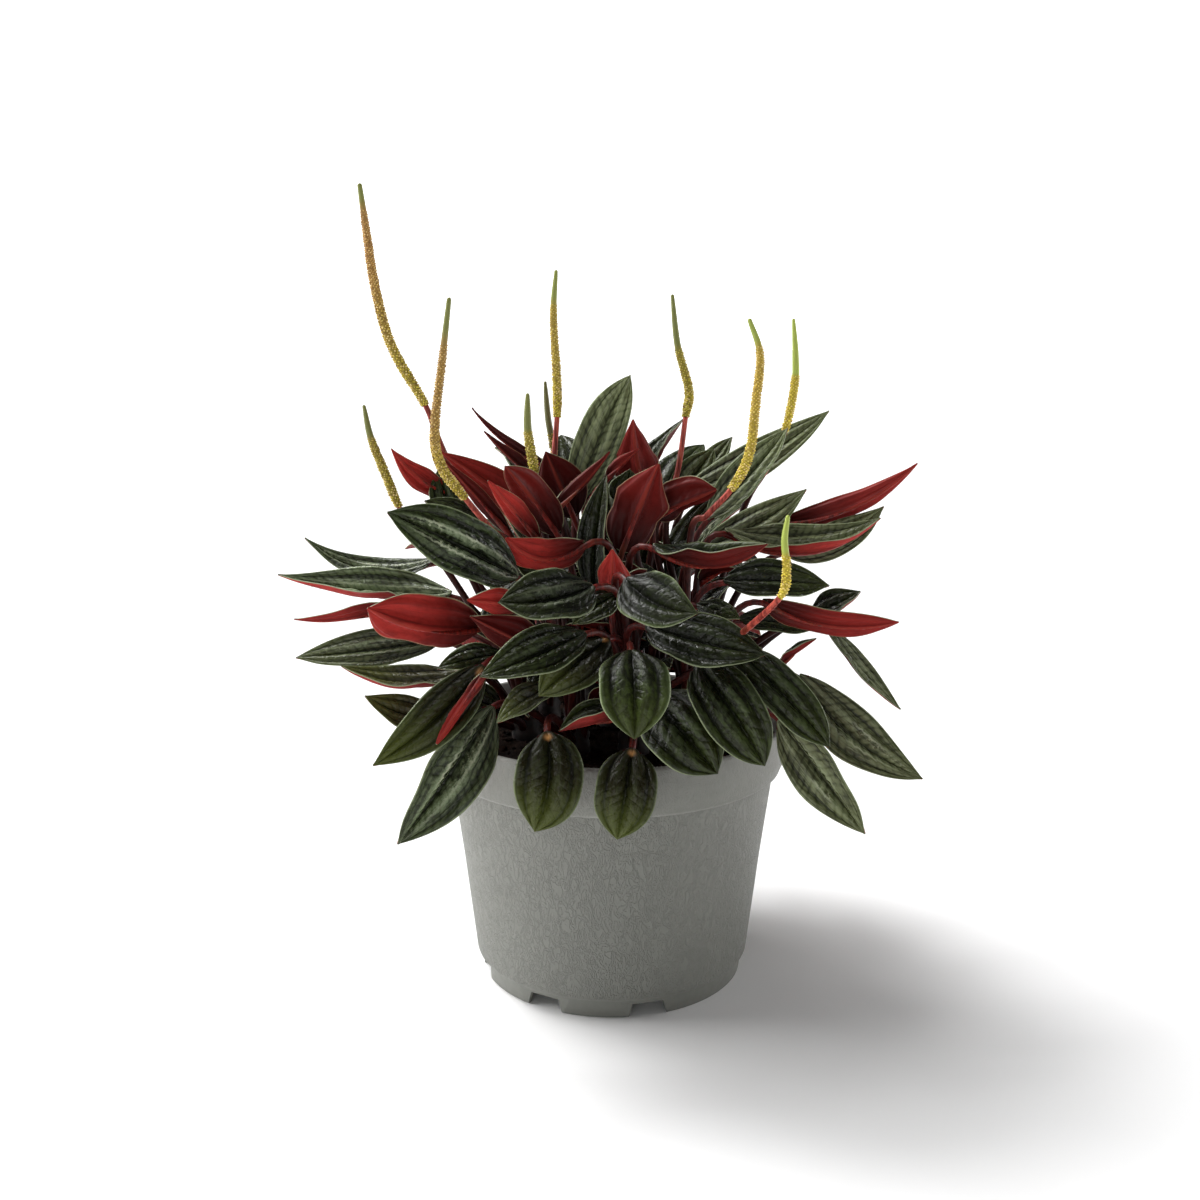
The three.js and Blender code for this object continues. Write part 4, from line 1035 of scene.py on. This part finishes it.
def catmull_rom(points, share):
    """Places along a smooth line through points, at shares of its count of stretches."""
    points = np.asarray(points, float)
    points = np.concatenate([[2 * points[0] - points[1]], points, [2 * points[-1] - points[-2]]])
    place = np.asarray(share) * (len(points) - 3)
    stretch = np.minimum(place.astype(int), len(points) - 4)
    t = (place - stretch)[:, None]
    a, b, c, d = (points[stretch + k] for k in range(4))
    straight = (c - a) * t + (2 * a - 5 * b + 4 * c - d) * t**2 + (3 * b - a - 3 * c + d) * t**3
    return b + 0.5 * straight


def flower_line(rosette, flower):
    """The points of a flower stalk and its spike, and where along them the spike begins."""
    top = np.array([*rosette["crown"], HIGHEST_ROOT])
    points = [top, *map(seen, flower["stalk"]), *map(seen, flower["spike"])]
    return points, len(flower["stalk"]) / (len(points) - 1)


def flower_stalk(rosette, flower):
    points, joint = flower_line(rosette, flower)
    share = np.linspace(0, joint + FLOWER_STALK_OVERLAP, FLOWER_STALK_STEPS)
    radii = FLOWER_STALK_RADIUS - FLOWER_STALK_TAPER * share / joint
    return tube("flower_stalk", catmull_rom(points, share), radii, STALK_SIDES, flower_stalk_finish)


class LeafFinish(Finish):
    """A leaf's material. Its colours follow a, the share of the way across from the midrib to the edge, t,
    the way along, the leaf's own tones and the light painted on it, the pillows between its side veins with
    the gaps that part them, and streaks that run with the blade."""

    def __init__(self, name, roughness, **sockets):
        super().__init__(name, roughness, **sockets)
        u, self.t, _ = self.parts(self.add("UVMap", {}, uv_map="UVMap"))
        self.a = self.distance(self.product(u, 2.0), 1.0)
        tones = self.add("Attribute", {}, output="Color", attribute_name="leaf_tones_and_light")
        self.silver, self.olive, self.light = self.parts(tones)
        self.brightness = self.add("Attribute", {}, output="Alpha", attribute_name="leaf_tones_and_light")
        phase = self.add("Attribute", {}, output="Fac", attribute_name="pucker")
        self.pillow = self.math("ABSOLUTE", self.math("SINE", self.product(phase, math.pi)))
        self.gap = self.minus(1.0, self.pillow)
        x, y, z = self.parts(self.place())
        drift = self.product(self.plus(self.plus(x, y), z), 45.0)
        flow = {0: self.product(u, 17.0), 1: self.product(self.t, 5.0), 2: drift}
        self.streaks = self.noise(1.0, 4.0, 0.6, self.add("CombineXYZ", flow))


def leaf_green(finish, crinkles, clouds):
    """Dark green mottled with mid green, lighter towards the edge, and olive brown on some leaves."""
    dark = finish.mix(finish.light, paint(15, 20, 6), paint(29, 40, 11))
    green = finish.mix(finish.light, paint(40, 50, 19), paint(84, 104, 41))
    mottle = finish.ramp(finish.mix(0.4, finish.streaks, crinkles), 0.42, 0.62)
    outer = finish.product(finish.stripe(finish.a, 0.83, 0.14), finish.ramp(clouds, 0.35, 0.65, 0.1, 0.6))
    finish.colour = finish.mix(outer, finish.mix(mottle, dark, green), green)
    finish.coat(finish.product(finish.olive, 0.8), 41, 36, 13)


def silver_bands(finish, fine, clouds):
    """Silver frost on the ridges, a pale crinkled line along each crest that is silver and partly a painted
    highlight, and painted highlights as flecks on the pillows.
    """
    a, t, silver, pillow = finish.a, finish.t, finish.silver, finish.pillow
    frost = finish.product(
        finish.ramp(finish.distance(a, 0.3), 0.0, 0.24, 1.0, 0.2),
        finish.ramp(fine, 0.3, 0.6, 0.4, 1.0),
        silver,
        finish.ramp(finish.streaks, 0.38, 0.62),
        finish.ramp(t, 0.4, 1.0, 1.0, 0.35),
        finish.ramp(pillow, 0.0, 0.8, 0.55, 1.0),
        finish.ramp(silver, 0.4, 1.0, 0.8, 1.5),
    )
    finish.coat(frost, 116, 129, 99)
    # The crest line: the leaf's silver, and partly a painted highlight of its glossy crest.
    crinkled = finish.plus(finish.plus(a, finish.product(fine, 0.09)), finish.product(pillow, 0.03))
    line = finish.product(
        finish.stripe(crinkled, CREST_AT + 0.05, 0.06),
        finish.ramp(clouds, 0.38, 0.55, 0.3, 1.0),
        finish.ramp(t, 0.45, 0.95, 1.0, 0.1),
        finish.ramp(silver, 0.5, 1.0, 0.04, 0.9),
    )
    finish.coat(line, 188, 194, 165)
    # Painted highlights: flecks of light on the pillow crests.
    painted_highlights = finish.product(
        finish.ramp(pillow, 0.7, 1.0),
        finish.stripe(a, 0.24, 0.2),
        finish.ramp(silver, 0.6, 1.0),
        finish.ramp(fine, 0.45, 0.65),
        finish.ramp(clouds, 0.42, 0.6),
    )
    finish.coat(painted_highlights, 180, 184, 153)


def sunken_veins(finish):
    """The dark midrib and side veins: the dark green of the sunken veins with painted shade in their
    grooves, wider in the gaps between the pillows. Painted shade darkens the blade at its base, and it
    lightens to olive green towards its tip."""
    spread = finish.product(finish.gap, 0.06)
    midrib = finish.ramp(finish.minus(finish.a, spread), 0.02, 0.12, 0.85, 0.0)
    off_vein = finish.minus(finish.distance(finish.a, VEIN_AT), spread)
    veins = finish.larger(midrib, finish.ramp(off_vein, 0.0, 0.09, 0.75, 0.0))
    # The veins' own dark green, with painted shade in their grooves and in the gaps between the pillows.
    finish.coat(veins, 9, 12, 5)
    ripe = finish.larger(finish.olive, finish.light)
    finish.coat(finish.product(finish.ramp(finish.t, 0.35, 0.95), ripe, 0.7), 88, 98, 38)
    # Painted shade: the blade darkens towards its base, deep in the rosette.
    finish.coat(finish.ramp(finish.t, 0.0, 0.65, 0.6, 0.0), 7, 9, 4)
    return veins


def painted_sheen_and_shade(finish, veins):
    """A painted sheen of light on the leaves set bright, thin in their veins, and painted shade that darkens
    the ones set dim.
    """
    # Painted sheen: a pale veil of light on the leaves set bright.
    painted_sheen = finish.product(
        finish.ramp(finish.brightness, 0.55, 1.0, 0.0, 0.85),
        finish.ramp(veins, 0.0, 0.75, 1.0, 0.4),
        finish.ramp(finish.pillow, 0.0, 0.9, 0.6, 1.0),
        finish.ramp(finish.streaks, 0.35, 0.65, 0.35, 1.0),
    )
    painted_sheen_colour = finish.mix(finish.olive, paint(150, 163, 124), paint(150, 136, 92))
    finish.colour = finish.mix(painted_sheen, finish.colour, painted_sheen_colour)
    # Painted shade: the leaves set dim darken towards black.
    finish.coat(finish.ramp(finish.brightness, 0.1, 0.5, 0.7, 0.0), 6, 7, 3)


def pale_rim(finish):
    """Painted shade as a dark groove inside the edge, a light halo and a pale rim at the edge, and a warm
    spot over the stalk's end.
    """
    a, t, olive = finish.a, finish.t, finish.olive
    # Painted shade: a dark groove just inside the edge.
    finish.coat(finish.product(finish.stripe(a, 0.925, 0.03), 0.6), 14, 18, 8)
    finish.coat(finish.product(finish.ramp(a, 0.86, 0.98), finish.light, 0.6), 120, 140, 84)
    rim = finish.product(finish.ramp(a, 0.955, 0.99, 0.0, 0.75), finish.ramp(olive, 0.2, 0.8, 1.0, 0.55))
    finish.coat(rim, 136, 146, 112)
    heart = finish.product(finish.stripe(t, 0.03, 0.04), finish.ramp(a, 0.05, 0.4, 0.9, 0.0))
    finish.coat(finish.product(heart, finish.ramp(olive, 0.3, 0.6)), 196, 146, 92)


def leaf_upper_side():
    finish = LeafFinish("leaf_upper_side", 0.4, Specular_IOR_Level=0.22)
    fine = finish.noise(1500.0, 3.0)
    crinkles = finish.noise(420.0, 2.0)
    clouds = finish.noise(80.0, 2.0)
    leaf_green(finish, crinkles, clouds)
    silver_bands(finish, fine, clouds)
    painted_sheen_and_shade(finish, sunken_veins(finish))
    pale_rim(finish)
    gloss = finish.ramp(finish.streaks, 0.3, 0.7, 0.16, 0.34)
    finish.set("Roughness", finish.plus(gloss, finish.product(finish.light, 0.35)))
    dents = finish.minus(fine, finish.product(finish.gap, finish.gap, finish.gap, 0.6))
    finish.set("Normal", finish.bump(finish.plus(dents, finish.product(crinkles, 3.0)), 0.2 * MM, 0.8))
    return finish.done()


def leaf_underside():
    finish = LeafFinish("leaf_underside", 0.5, Specular_IOR_Level=0.12)
    a, gap = finish.a, finish.gap
    fine = finish.noise(1100.0, 3.0)
    clouds = finish.noise(90.0, 3.0)
    # Wine red from dark to bright by the light painted on each leaf.
    bright = finish.product(finish.brightness, finish.brightness)
    finish.colour = finish.mix(bright, paint(62, 9, 7), paint(200, 60, 53))
    shade = finish.product(finish.ramp(finish.streaks, 0.35, 0.7), finish.ramp(clouds, 0.35, 0.65, 0.1, 0.5))
    finish.coat(shade, 76, 14, 11)
    # Painted shade: the underside darkens towards the blade's base.
    finish.coat(finish.ramp(finish.t, 0.0, 0.65, 0.88, 0.0), 26, 5, 4)
    side_vein = finish.product(finish.stripe(a, VEIN_AT, 0.035), 0.5)
    veins = finish.larger(side_vein, finish.stripe(a, 0.1, 0.05))
    veins = finish.larger(veins, finish.product(gap, gap, gap, 0.2))
    finish.coat(finish.product(veins, 0.5), 42, 7, 6)
    finish.coat(finish.product(finish.stripe(a, 0.0, 0.06), 0.5), 150, 60, 46)
    finish.coat(finish.ramp(a, 0.96, 0.995, 0.0, 0.7), 160, 128, 98)
    finish.set("Roughness", finish.ramp(clouds, 0.3, 0.7, 0.44, 0.58))
    finish.set("Normal", finish.bump(fine, 0.08 * MM, 0.7))
    return finish.done()


def leaf_edge():
    finish = Finish("leaf_edge", 0.45)
    finish.colour = finish.mix(finish.noise(400.0), paint(92, 104, 70), paint(158, 162, 130))
    return finish.done()


def red_stalk(name, shade, light, painted_shade_to):
    """The red skin of a stalk, with painted shade from its root up to a share of its length."""
    finish = Finish(name, 0.4, Specular_IOR_Level=0.22)
    _, along, _ = finish.parts(finish.add("UVMap", {}, uv_map="UVMap"))
    streaks = finish.noise(900.0, 2.0, 0.0, finish.stretched((1.0, 1.0, 0.12)))
    finish.colour = finish.mix(finish.ramp(streaks, 0.35, 0.65), shade, light)
    finish.coat(finish.ramp(finish.noise(90.0, 2.0), 0.45, 0.75, 0.0, 0.4), 130, 74, 44)
    # Painted shade: dark from the root, deep in the rosette.
    finish.coat(finish.ramp(along, 0.35, painted_shade_to, 0.92, 0.0), 26, 7, 6)
    finish.set("Normal", finish.bump(streaks, 0.05 * MM, 0.6))
    return finish.done()


def old_bark():
    finish = Finish("crown_bark", 0.7)
    scars = finish.noise(380.0, 4.0)
    finish.colour = finish.mix(finish.ramp(scars, 0.35, 0.65), paint(14, 7, 6), paint(34, 19, 14))
    finish.set("Normal", finish.bump(scars, 0.3 * MM))
    return finish.done()


upper_finish = leaf_upper_side()
under_finish = leaf_underside()
edge_finish = leaf_edge()
leaf_stalk_finish = red_stalk("leaf_stalk", paint(78, 15, 10), paint(136, 36, 27), 0.95)
flower_stalk_finish = red_stalk("flower_stalk", paint(106, 32, 26), paint(182, 80, 66), 0.8)
bark_finish = old_bark()
front_blank = leaf_blank(26, 54)
back_blank = leaf_blank(20, 40)
inner_blank = leaf_blank(12, 26)
backs = back_leaves()
for rosette in ROSETTES:
    leaves = [front_leaf(row) for row in rosette["leaves"]]
    leaves += [made for owner, *made in backs if owner == rosette["name"]]
    leaves += inner_leaves(rosette["crown"])
    leaves.sort(key=lambda made: made[0].base[2])
    pieces = [crown_stem(rosette["crown"])]
    for k, (blade, *manner) in enumerate(leaves):
        root = root_point(rosette["crown"], blade, (k + 0.5) / len(leaves))
        pieces += leaf(root, blade, *manner)
    pieces += [flower_stalk(rosette, flower) for flower in rosette["spikes"]]
    piece = joined(pieces, "leaves_" + rosette["name"])
    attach(piece, "root")
    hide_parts("rosette_" + rosette["name"])
for flat, *_ in (front_blank, back_blank, inner_blank):
    bpy.data.objects.remove(flat)

# Flower spikes.
# Each stalk ends in an upright fleshy spike, beaded all round with tiny florets up to its smooth green
# tip. It is yellow green, and browner where the florets are open.

SPIKE_SIDES = 14
SPIKE_RING_STEP = 1.2
SPIKE_LEAST_RINGS = 8
SPIKE_MEASURES = 60
SPIKE_FOOT = 0.8
SPIKE_FOOT_STEPS = 8
TIP_RINGS = 6
TIP_RADIUS = 0.05
FLORET_AREA = 0.58
FLORET_RADIUS = 0.35
FLORET_SIZES = (0.75, 1.2)
FLORET_SHRINK = 0.35
FLORET_STAND = 1.25
FLORET_LIFT = 0.1
FLORET_SCATTER = 0.12
FLORET_TONES = (0.06, 1)
GOLDEN_ANGLE = math.pi * (3 - math.sqrt(5))

# Each spike: its radius, how far it tapers, how yellow and how ripe it is, and the share of its length
# that carries florets.
SPIKE_LOOKS = [
    {"radius": 1.28, "taper": 0.55, "yellow": 0.65, "ripe": 0.2, "beaded": 0.74},
    {"radius": 1.15, "taper": 0.6, "yellow": 0.1, "ripe": 0.0, "beaded": 0.3},
    {"radius": 1.1, "taper": 0.5, "yellow": 1.0, "ripe": 0.0, "beaded": 0.52},
    {"radius": 1.3, "taper": 0.45, "yellow": 0.45, "ripe": 0.55, "beaded": 0.82},
    {"radius": 1.35, "taper": 0.6, "yellow": 0.45, "ripe": 0.0, "beaded": 0.5},
    {"radius": 1.38, "taper": 0.45, "yellow": 0.5, "ripe": 0.7, "beaded": 0.87},
    {"radius": 1.3, "taper": 0.6, "yellow": 0.4, "ripe": 0.1, "beaded": 0.66},
    {"radius": 1.3, "taper": 0.55, "yellow": 0.45, "ripe": 0.0, "beaded": 0.64},
    {"radius": 1.25, "taper": 0.6, "yellow": 1.0, "ripe": 0.0, "beaded": 0.42},
    {"radius": 1.3, "taper": 0.5, "yellow": 0.85, "ripe": 0.3, "beaded": 0.8},
]


def beaded_skin():
    """Colours that follow four tones: the way along the beaded part, ripeness, floret and yellowness."""
    finish = Finish("beaded_flower_spike", 0.5, Specular_IOR_Level=0.35)
    tones = finish.add("Attribute", {}, output="Color", attribute_name="spike_tones")
    along, ripe, floret = finish.parts(tones)
    yellow = finish.add("Attribute", {}, output="Alpha", attribute_name="spike_tones")
    before_tip = finish.ramp(along, 0.98, 1.08, 1.0, 0.0)
    browned = finish.product(finish.ramp(along, 0.1, 0.75, 0.08, 1.0), ripe, before_tip, 0.85)
    stem = finish.mix(yellow, paint(84, 80, 26), paint(174, 154, 38))
    tip = finish.mix(finish.product(yellow, yellow), paint(96, 94, 52), paint(160, 174, 76))
    stem = finish.mix(finish.ramp(along, 0.92, 1.1), stem, tip)
    stem = finish.mix(browned, stem, paint(158, 102, 68))
    finish.colour = finish.mix(yellow, paint(170, 158, 58), paint(226, 206, 74))
    finish.coat(browned, 196, 134, 96)
    low = finish.ramp(along, 0.1, 0.6, 0.95, 0.6)
    finish.coat(finish.product(finish.ramp(floret, 0.55, 0.95), low), 232, 206, 142)
    finish.coat(finish.ramp(floret, 0.05, 0.45, 0.8, 0.0), 108, 72, 34)
    finish.colour = finish.mix(finish.ramp(floret, 0.0, 0.04), stem, finish.colour)
    finish.set("Normal", finish.bump(finish.noise(1500.0, 2.0), 0.08 * MM, 0.6))
    return finish.done()


def spike_girth(share, taper):
    """The core's radius along it, as a share: slim at its foot, and tapering to its tip."""
    swelling = np.minimum(1, share * SPIKE_FOOT_STEPS)
    return (1 - taper * share**4) * (SPIKE_FOOT + (1 - SPIKE_FOOT) * swelling)


def tone_sheet(piece, level, look, own):
    """Writes the four tones of a piece of a spike onto its corners."""
    tones = np.stack([level, 0 * level + look["ripe"], own, 0 * level + look["yellow"]], axis=1)
    layer = piece.data.attributes.new("spike_tones", "FLOAT_COLOR", "POINT")
    layer.data.foreach_set("color", tones.ravel())


def flower_spike(name, rosette, flower, look):
    """A tapering core with its florets set round it in one long spiral."""
    points, joint = flower_line(rosette, flower)
    rough = catmull_rom(points, np.linspace(joint, 1, SPIKE_MEASURES))
    length = np.linalg.norm(np.diff(rough, axis=0), axis=1).sum()
    tip_girth = spike_girth(1, look["taper"])
    cap = look["radius"] * tip_girth / length
    rounding = np.linspace(0, math.pi / 2, TIP_RINGS + 1)[1:]
    share = np.linspace(0, 1 - cap, int(length / SPIKE_RING_STEP) + SPIKE_LEAST_RINGS)
    girth = np.concatenate([spike_girth(share, look["taper"]), tip_girth * np.cos(rounding)])
    core_radii = np.maximum(look["radius"] * girth, TIP_RADIUS)
    share = np.concatenate([share, 1 - cap + cap * np.sin(rounding)])
    path = catmull_rom(points, joint + (1 - joint) * share)
    core = tube(name, path, core_radii, SPIKE_SIDES, spike_finish)
    ends = [0, 1]
    beaded = look["beaded"]
    level = np.concatenate([np.repeat(share, SPIKE_SIDES), ends]) / beaded
    tone_sheet(core, level, look, 0 * level)
    corners, faces, levels, own = [], [], [], []
    place, count = 0.0, 0
    bead_corners, bead_faces = bead_blank
    while place < beaded:
        radius = look["radius"] * spike_girth(place, look["taper"])
        centre, ahead = catmull_rom(points, joint + (1 - joint) * np.array([place, place + 0.01]))
        way = unit(ahead - centre)
        side = unit(without(np.array([1.0, 0.3, 0]), way))
        angle = count * GOLDEN_ANGLE + rng.uniform(-FLORET_SCATTER, FLORET_SCATTER)
        out = side * math.cos(angle) + np.cross(way, side) * math.sin(angle)
        size = FLORET_RADIUS * rng.uniform(*FLORET_SIZES) * (1 - FLORET_SHRINK * (place / beaded) ** 2)
        turned = np.stack([way, np.cross(out, way), out * FLORET_STAND])
        along = way * rng.uniform(-FLORET_SCATTER, FLORET_SCATTER)
        spot = centre + along + out * (radius + FLORET_LIFT * size)
        faces += [tuple(len(levels) + corner for corner in face) for face in bead_faces]
        corners.append((spot + bead_corners * size @ turned) * MM)
        levels += [place / beaded] * len(bead_corners)
        own += [rng.uniform(*FLORET_TONES)] * len(bead_corners)
        place += FLORET_AREA / (2 * math.pi * radius * length)
        count += 1
    beads = scattered("florets", np.concatenate(corners).tolist(), faces)
    beads.data.materials.append(spike_finish)
    smoothed(beads.data)
    tone_sheet(beads, np.array(levels), look, np.array(own))
    return joined([core, beads], name)


bead_blank = pattern_of(added(bpy.ops.mesh.primitive_uv_sphere_add, segments=6, ring_count=3, radius=1))
spike_finish = beaded_skin()
flowers = [(rosette, flower) for rosette in ROSETTES for flower in rosette["spikes"]]
for k, (rosette, flower) in enumerate(flowers):
    number = f"{k + 1:02d}"
    spike = flower_spike("spike_" + number, rosette, flower, SPIKE_LOOKS[k])
    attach(spike, "root")
    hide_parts("flower_spike_" + number)

# Studio.
# A white floor that grows brighter far away, where it meets a white backdrop, a broad soft sun high on the
# left and behind, softboxes on all sides, a pale sky, and the camera in front of the plant.

CAMERA_HEIGHT = 240 * MM
CAMERA_BACK = 498 * MM
CAMERA_SIDE = -4.3 * MM
CAMERA_DIP = 0.208
CAMERA_LENS = 43.47
CAMERA_SENSOR = 36
FLOOR_SIZE = 14
FLOOR_GLOW = 0.5
GLOW_FROM = 0.35
GLOW_TO = 2.5
BACKDROP_RADIUS = 6
BACKDROP_HEIGHT = 5
BACKDROP_SIDES = 96
BACKDROP_GLOW = 1.2
SUN_STRENGTH = 3.1
SUN_WIDTH = math.radians(26)
SUN_FROM = Vector((-0.66, 0.5, 1.02))
SKY_STRENGTH = 0.17
LIGHTS_AIM = Vector((0, 0, 0.12))

floor = added(bpy.ops.mesh.primitive_plane_add, size=FLOOR_SIZE)
floor.name = "floor"
floor_finish = Finish("white_floor", 0.9, Specular_IOR_Level=0.1)
floor_finish.set("Base Color", (0.9, 0.9, 0.9, 1))
east, north, _ = floor_finish.parts(floor_finish.place())
away = floor_finish.larger(floor_finish.math("ABSOLUTE", east), floor_finish.math("ABSOLUTE", north))
# Painted light: the floor glows more with distance, though it is no lamp, so that it reaches white where it
# meets the backdrop.
floor_finish.set("Emission Color", (1, 1, 1, 1))
floor_finish.set("Emission Strength", floor_finish.ramp(away, GLOW_FROM, GLOW_TO, 0.0, FLOOR_GLOW))
floor.data.materials.append(floor_finish.material)

ring = {"vertices": BACKDROP_SIDES, "radius": BACKDROP_RADIUS, "depth": BACKDROP_HEIGHT}
backdrop = added(bpy.ops.mesh.primitive_cylinder_add, end_fill_type="NOTHING", **ring)
bpy.ops.transform.translate(value=(0, 0, BACKDROP_HEIGHT / 2))
backdrop.name = "backdrop"
backdrop_finish = Finish("white_backdrop", 0.9)
backdrop_finish.set("Emission Color", (1, 1, 1, 1))
backdrop_finish.set("Emission Strength", BACKDROP_GLOW)
backdrop.data.materials.append(backdrop_finish.material)
for ray in ("shadow", "diffuse", "glossy"):
    setattr(backdrop, "visible_" + ray, False)

sun_data = bpy.data.lights.new("key_light", "SUN")
sun_data.energy = SUN_STRENGTH
sun_data.angle = SUN_WIDTH
sun = bpy.data.objects.new("key_light", sun_data)
sun.rotation_euler = SUN_FROM.to_track_quat("Z", "Y").to_euler()
bpy.context.scene.collection.objects.link(sun)


def softbox(name, place, width, height, energy):
    """A soft rectangle of light turned to the plant, that doesn't show itself."""
    light = bpy.data.lights.new(name, "AREA")
    light.shape = "RECTANGLE"
    light.size = width
    light.size_y = height
    light.energy = energy
    lamp = bpy.data.objects.new(name, light)
    lamp.location = place
    lamp.rotation_euler = (Vector(place) - LIGHTS_AIM).to_track_quat("Z", "Y").to_euler()
    lamp.visible_camera = False
    bpy.context.scene.collection.objects.link(lamp)


softbox("side_softbox", (-1.48, 0.22, 0.62), 0.9, 1.2, 24)
softbox("top_softbox", (-0.3, 0.2, 1.7), 0.8, 0.8, 8)
softbox("rim_softbox", (1.4, 0.4, 0.3), 0.6, 0.5, 9)
softbox("front_softbox", (-0.4, -2.3, 0.5), 1.4, 1.0, 9)

world = bpy.data.worlds.new("pale_sky")
world.use_nodes = True
sky = world.node_tree.nodes["Background"]
sky.inputs["Color"].default_value = (1, 1, 1, 1)
sky.inputs["Strength"].default_value = SKY_STRENGTH
bpy.context.scene.world = world

camera_data = bpy.data.cameras.new("camera")
camera_data.lens = CAMERA_LENS
camera_data.sensor_width = CAMERA_SENSOR
camera = bpy.data.objects.new("camera", camera_data)
camera.location = (CAMERA_SIDE, -CAMERA_BACK, CAMERA_HEIGHT)
camera.rotation_euler = (math.pi / 2 - CAMERA_DIP, 0, 0)
bpy.context.scene.collection.objects.link(camera)
bpy.context.scene.camera = camera
bpy.context.scene.view_settings.view_transform = "Standard"
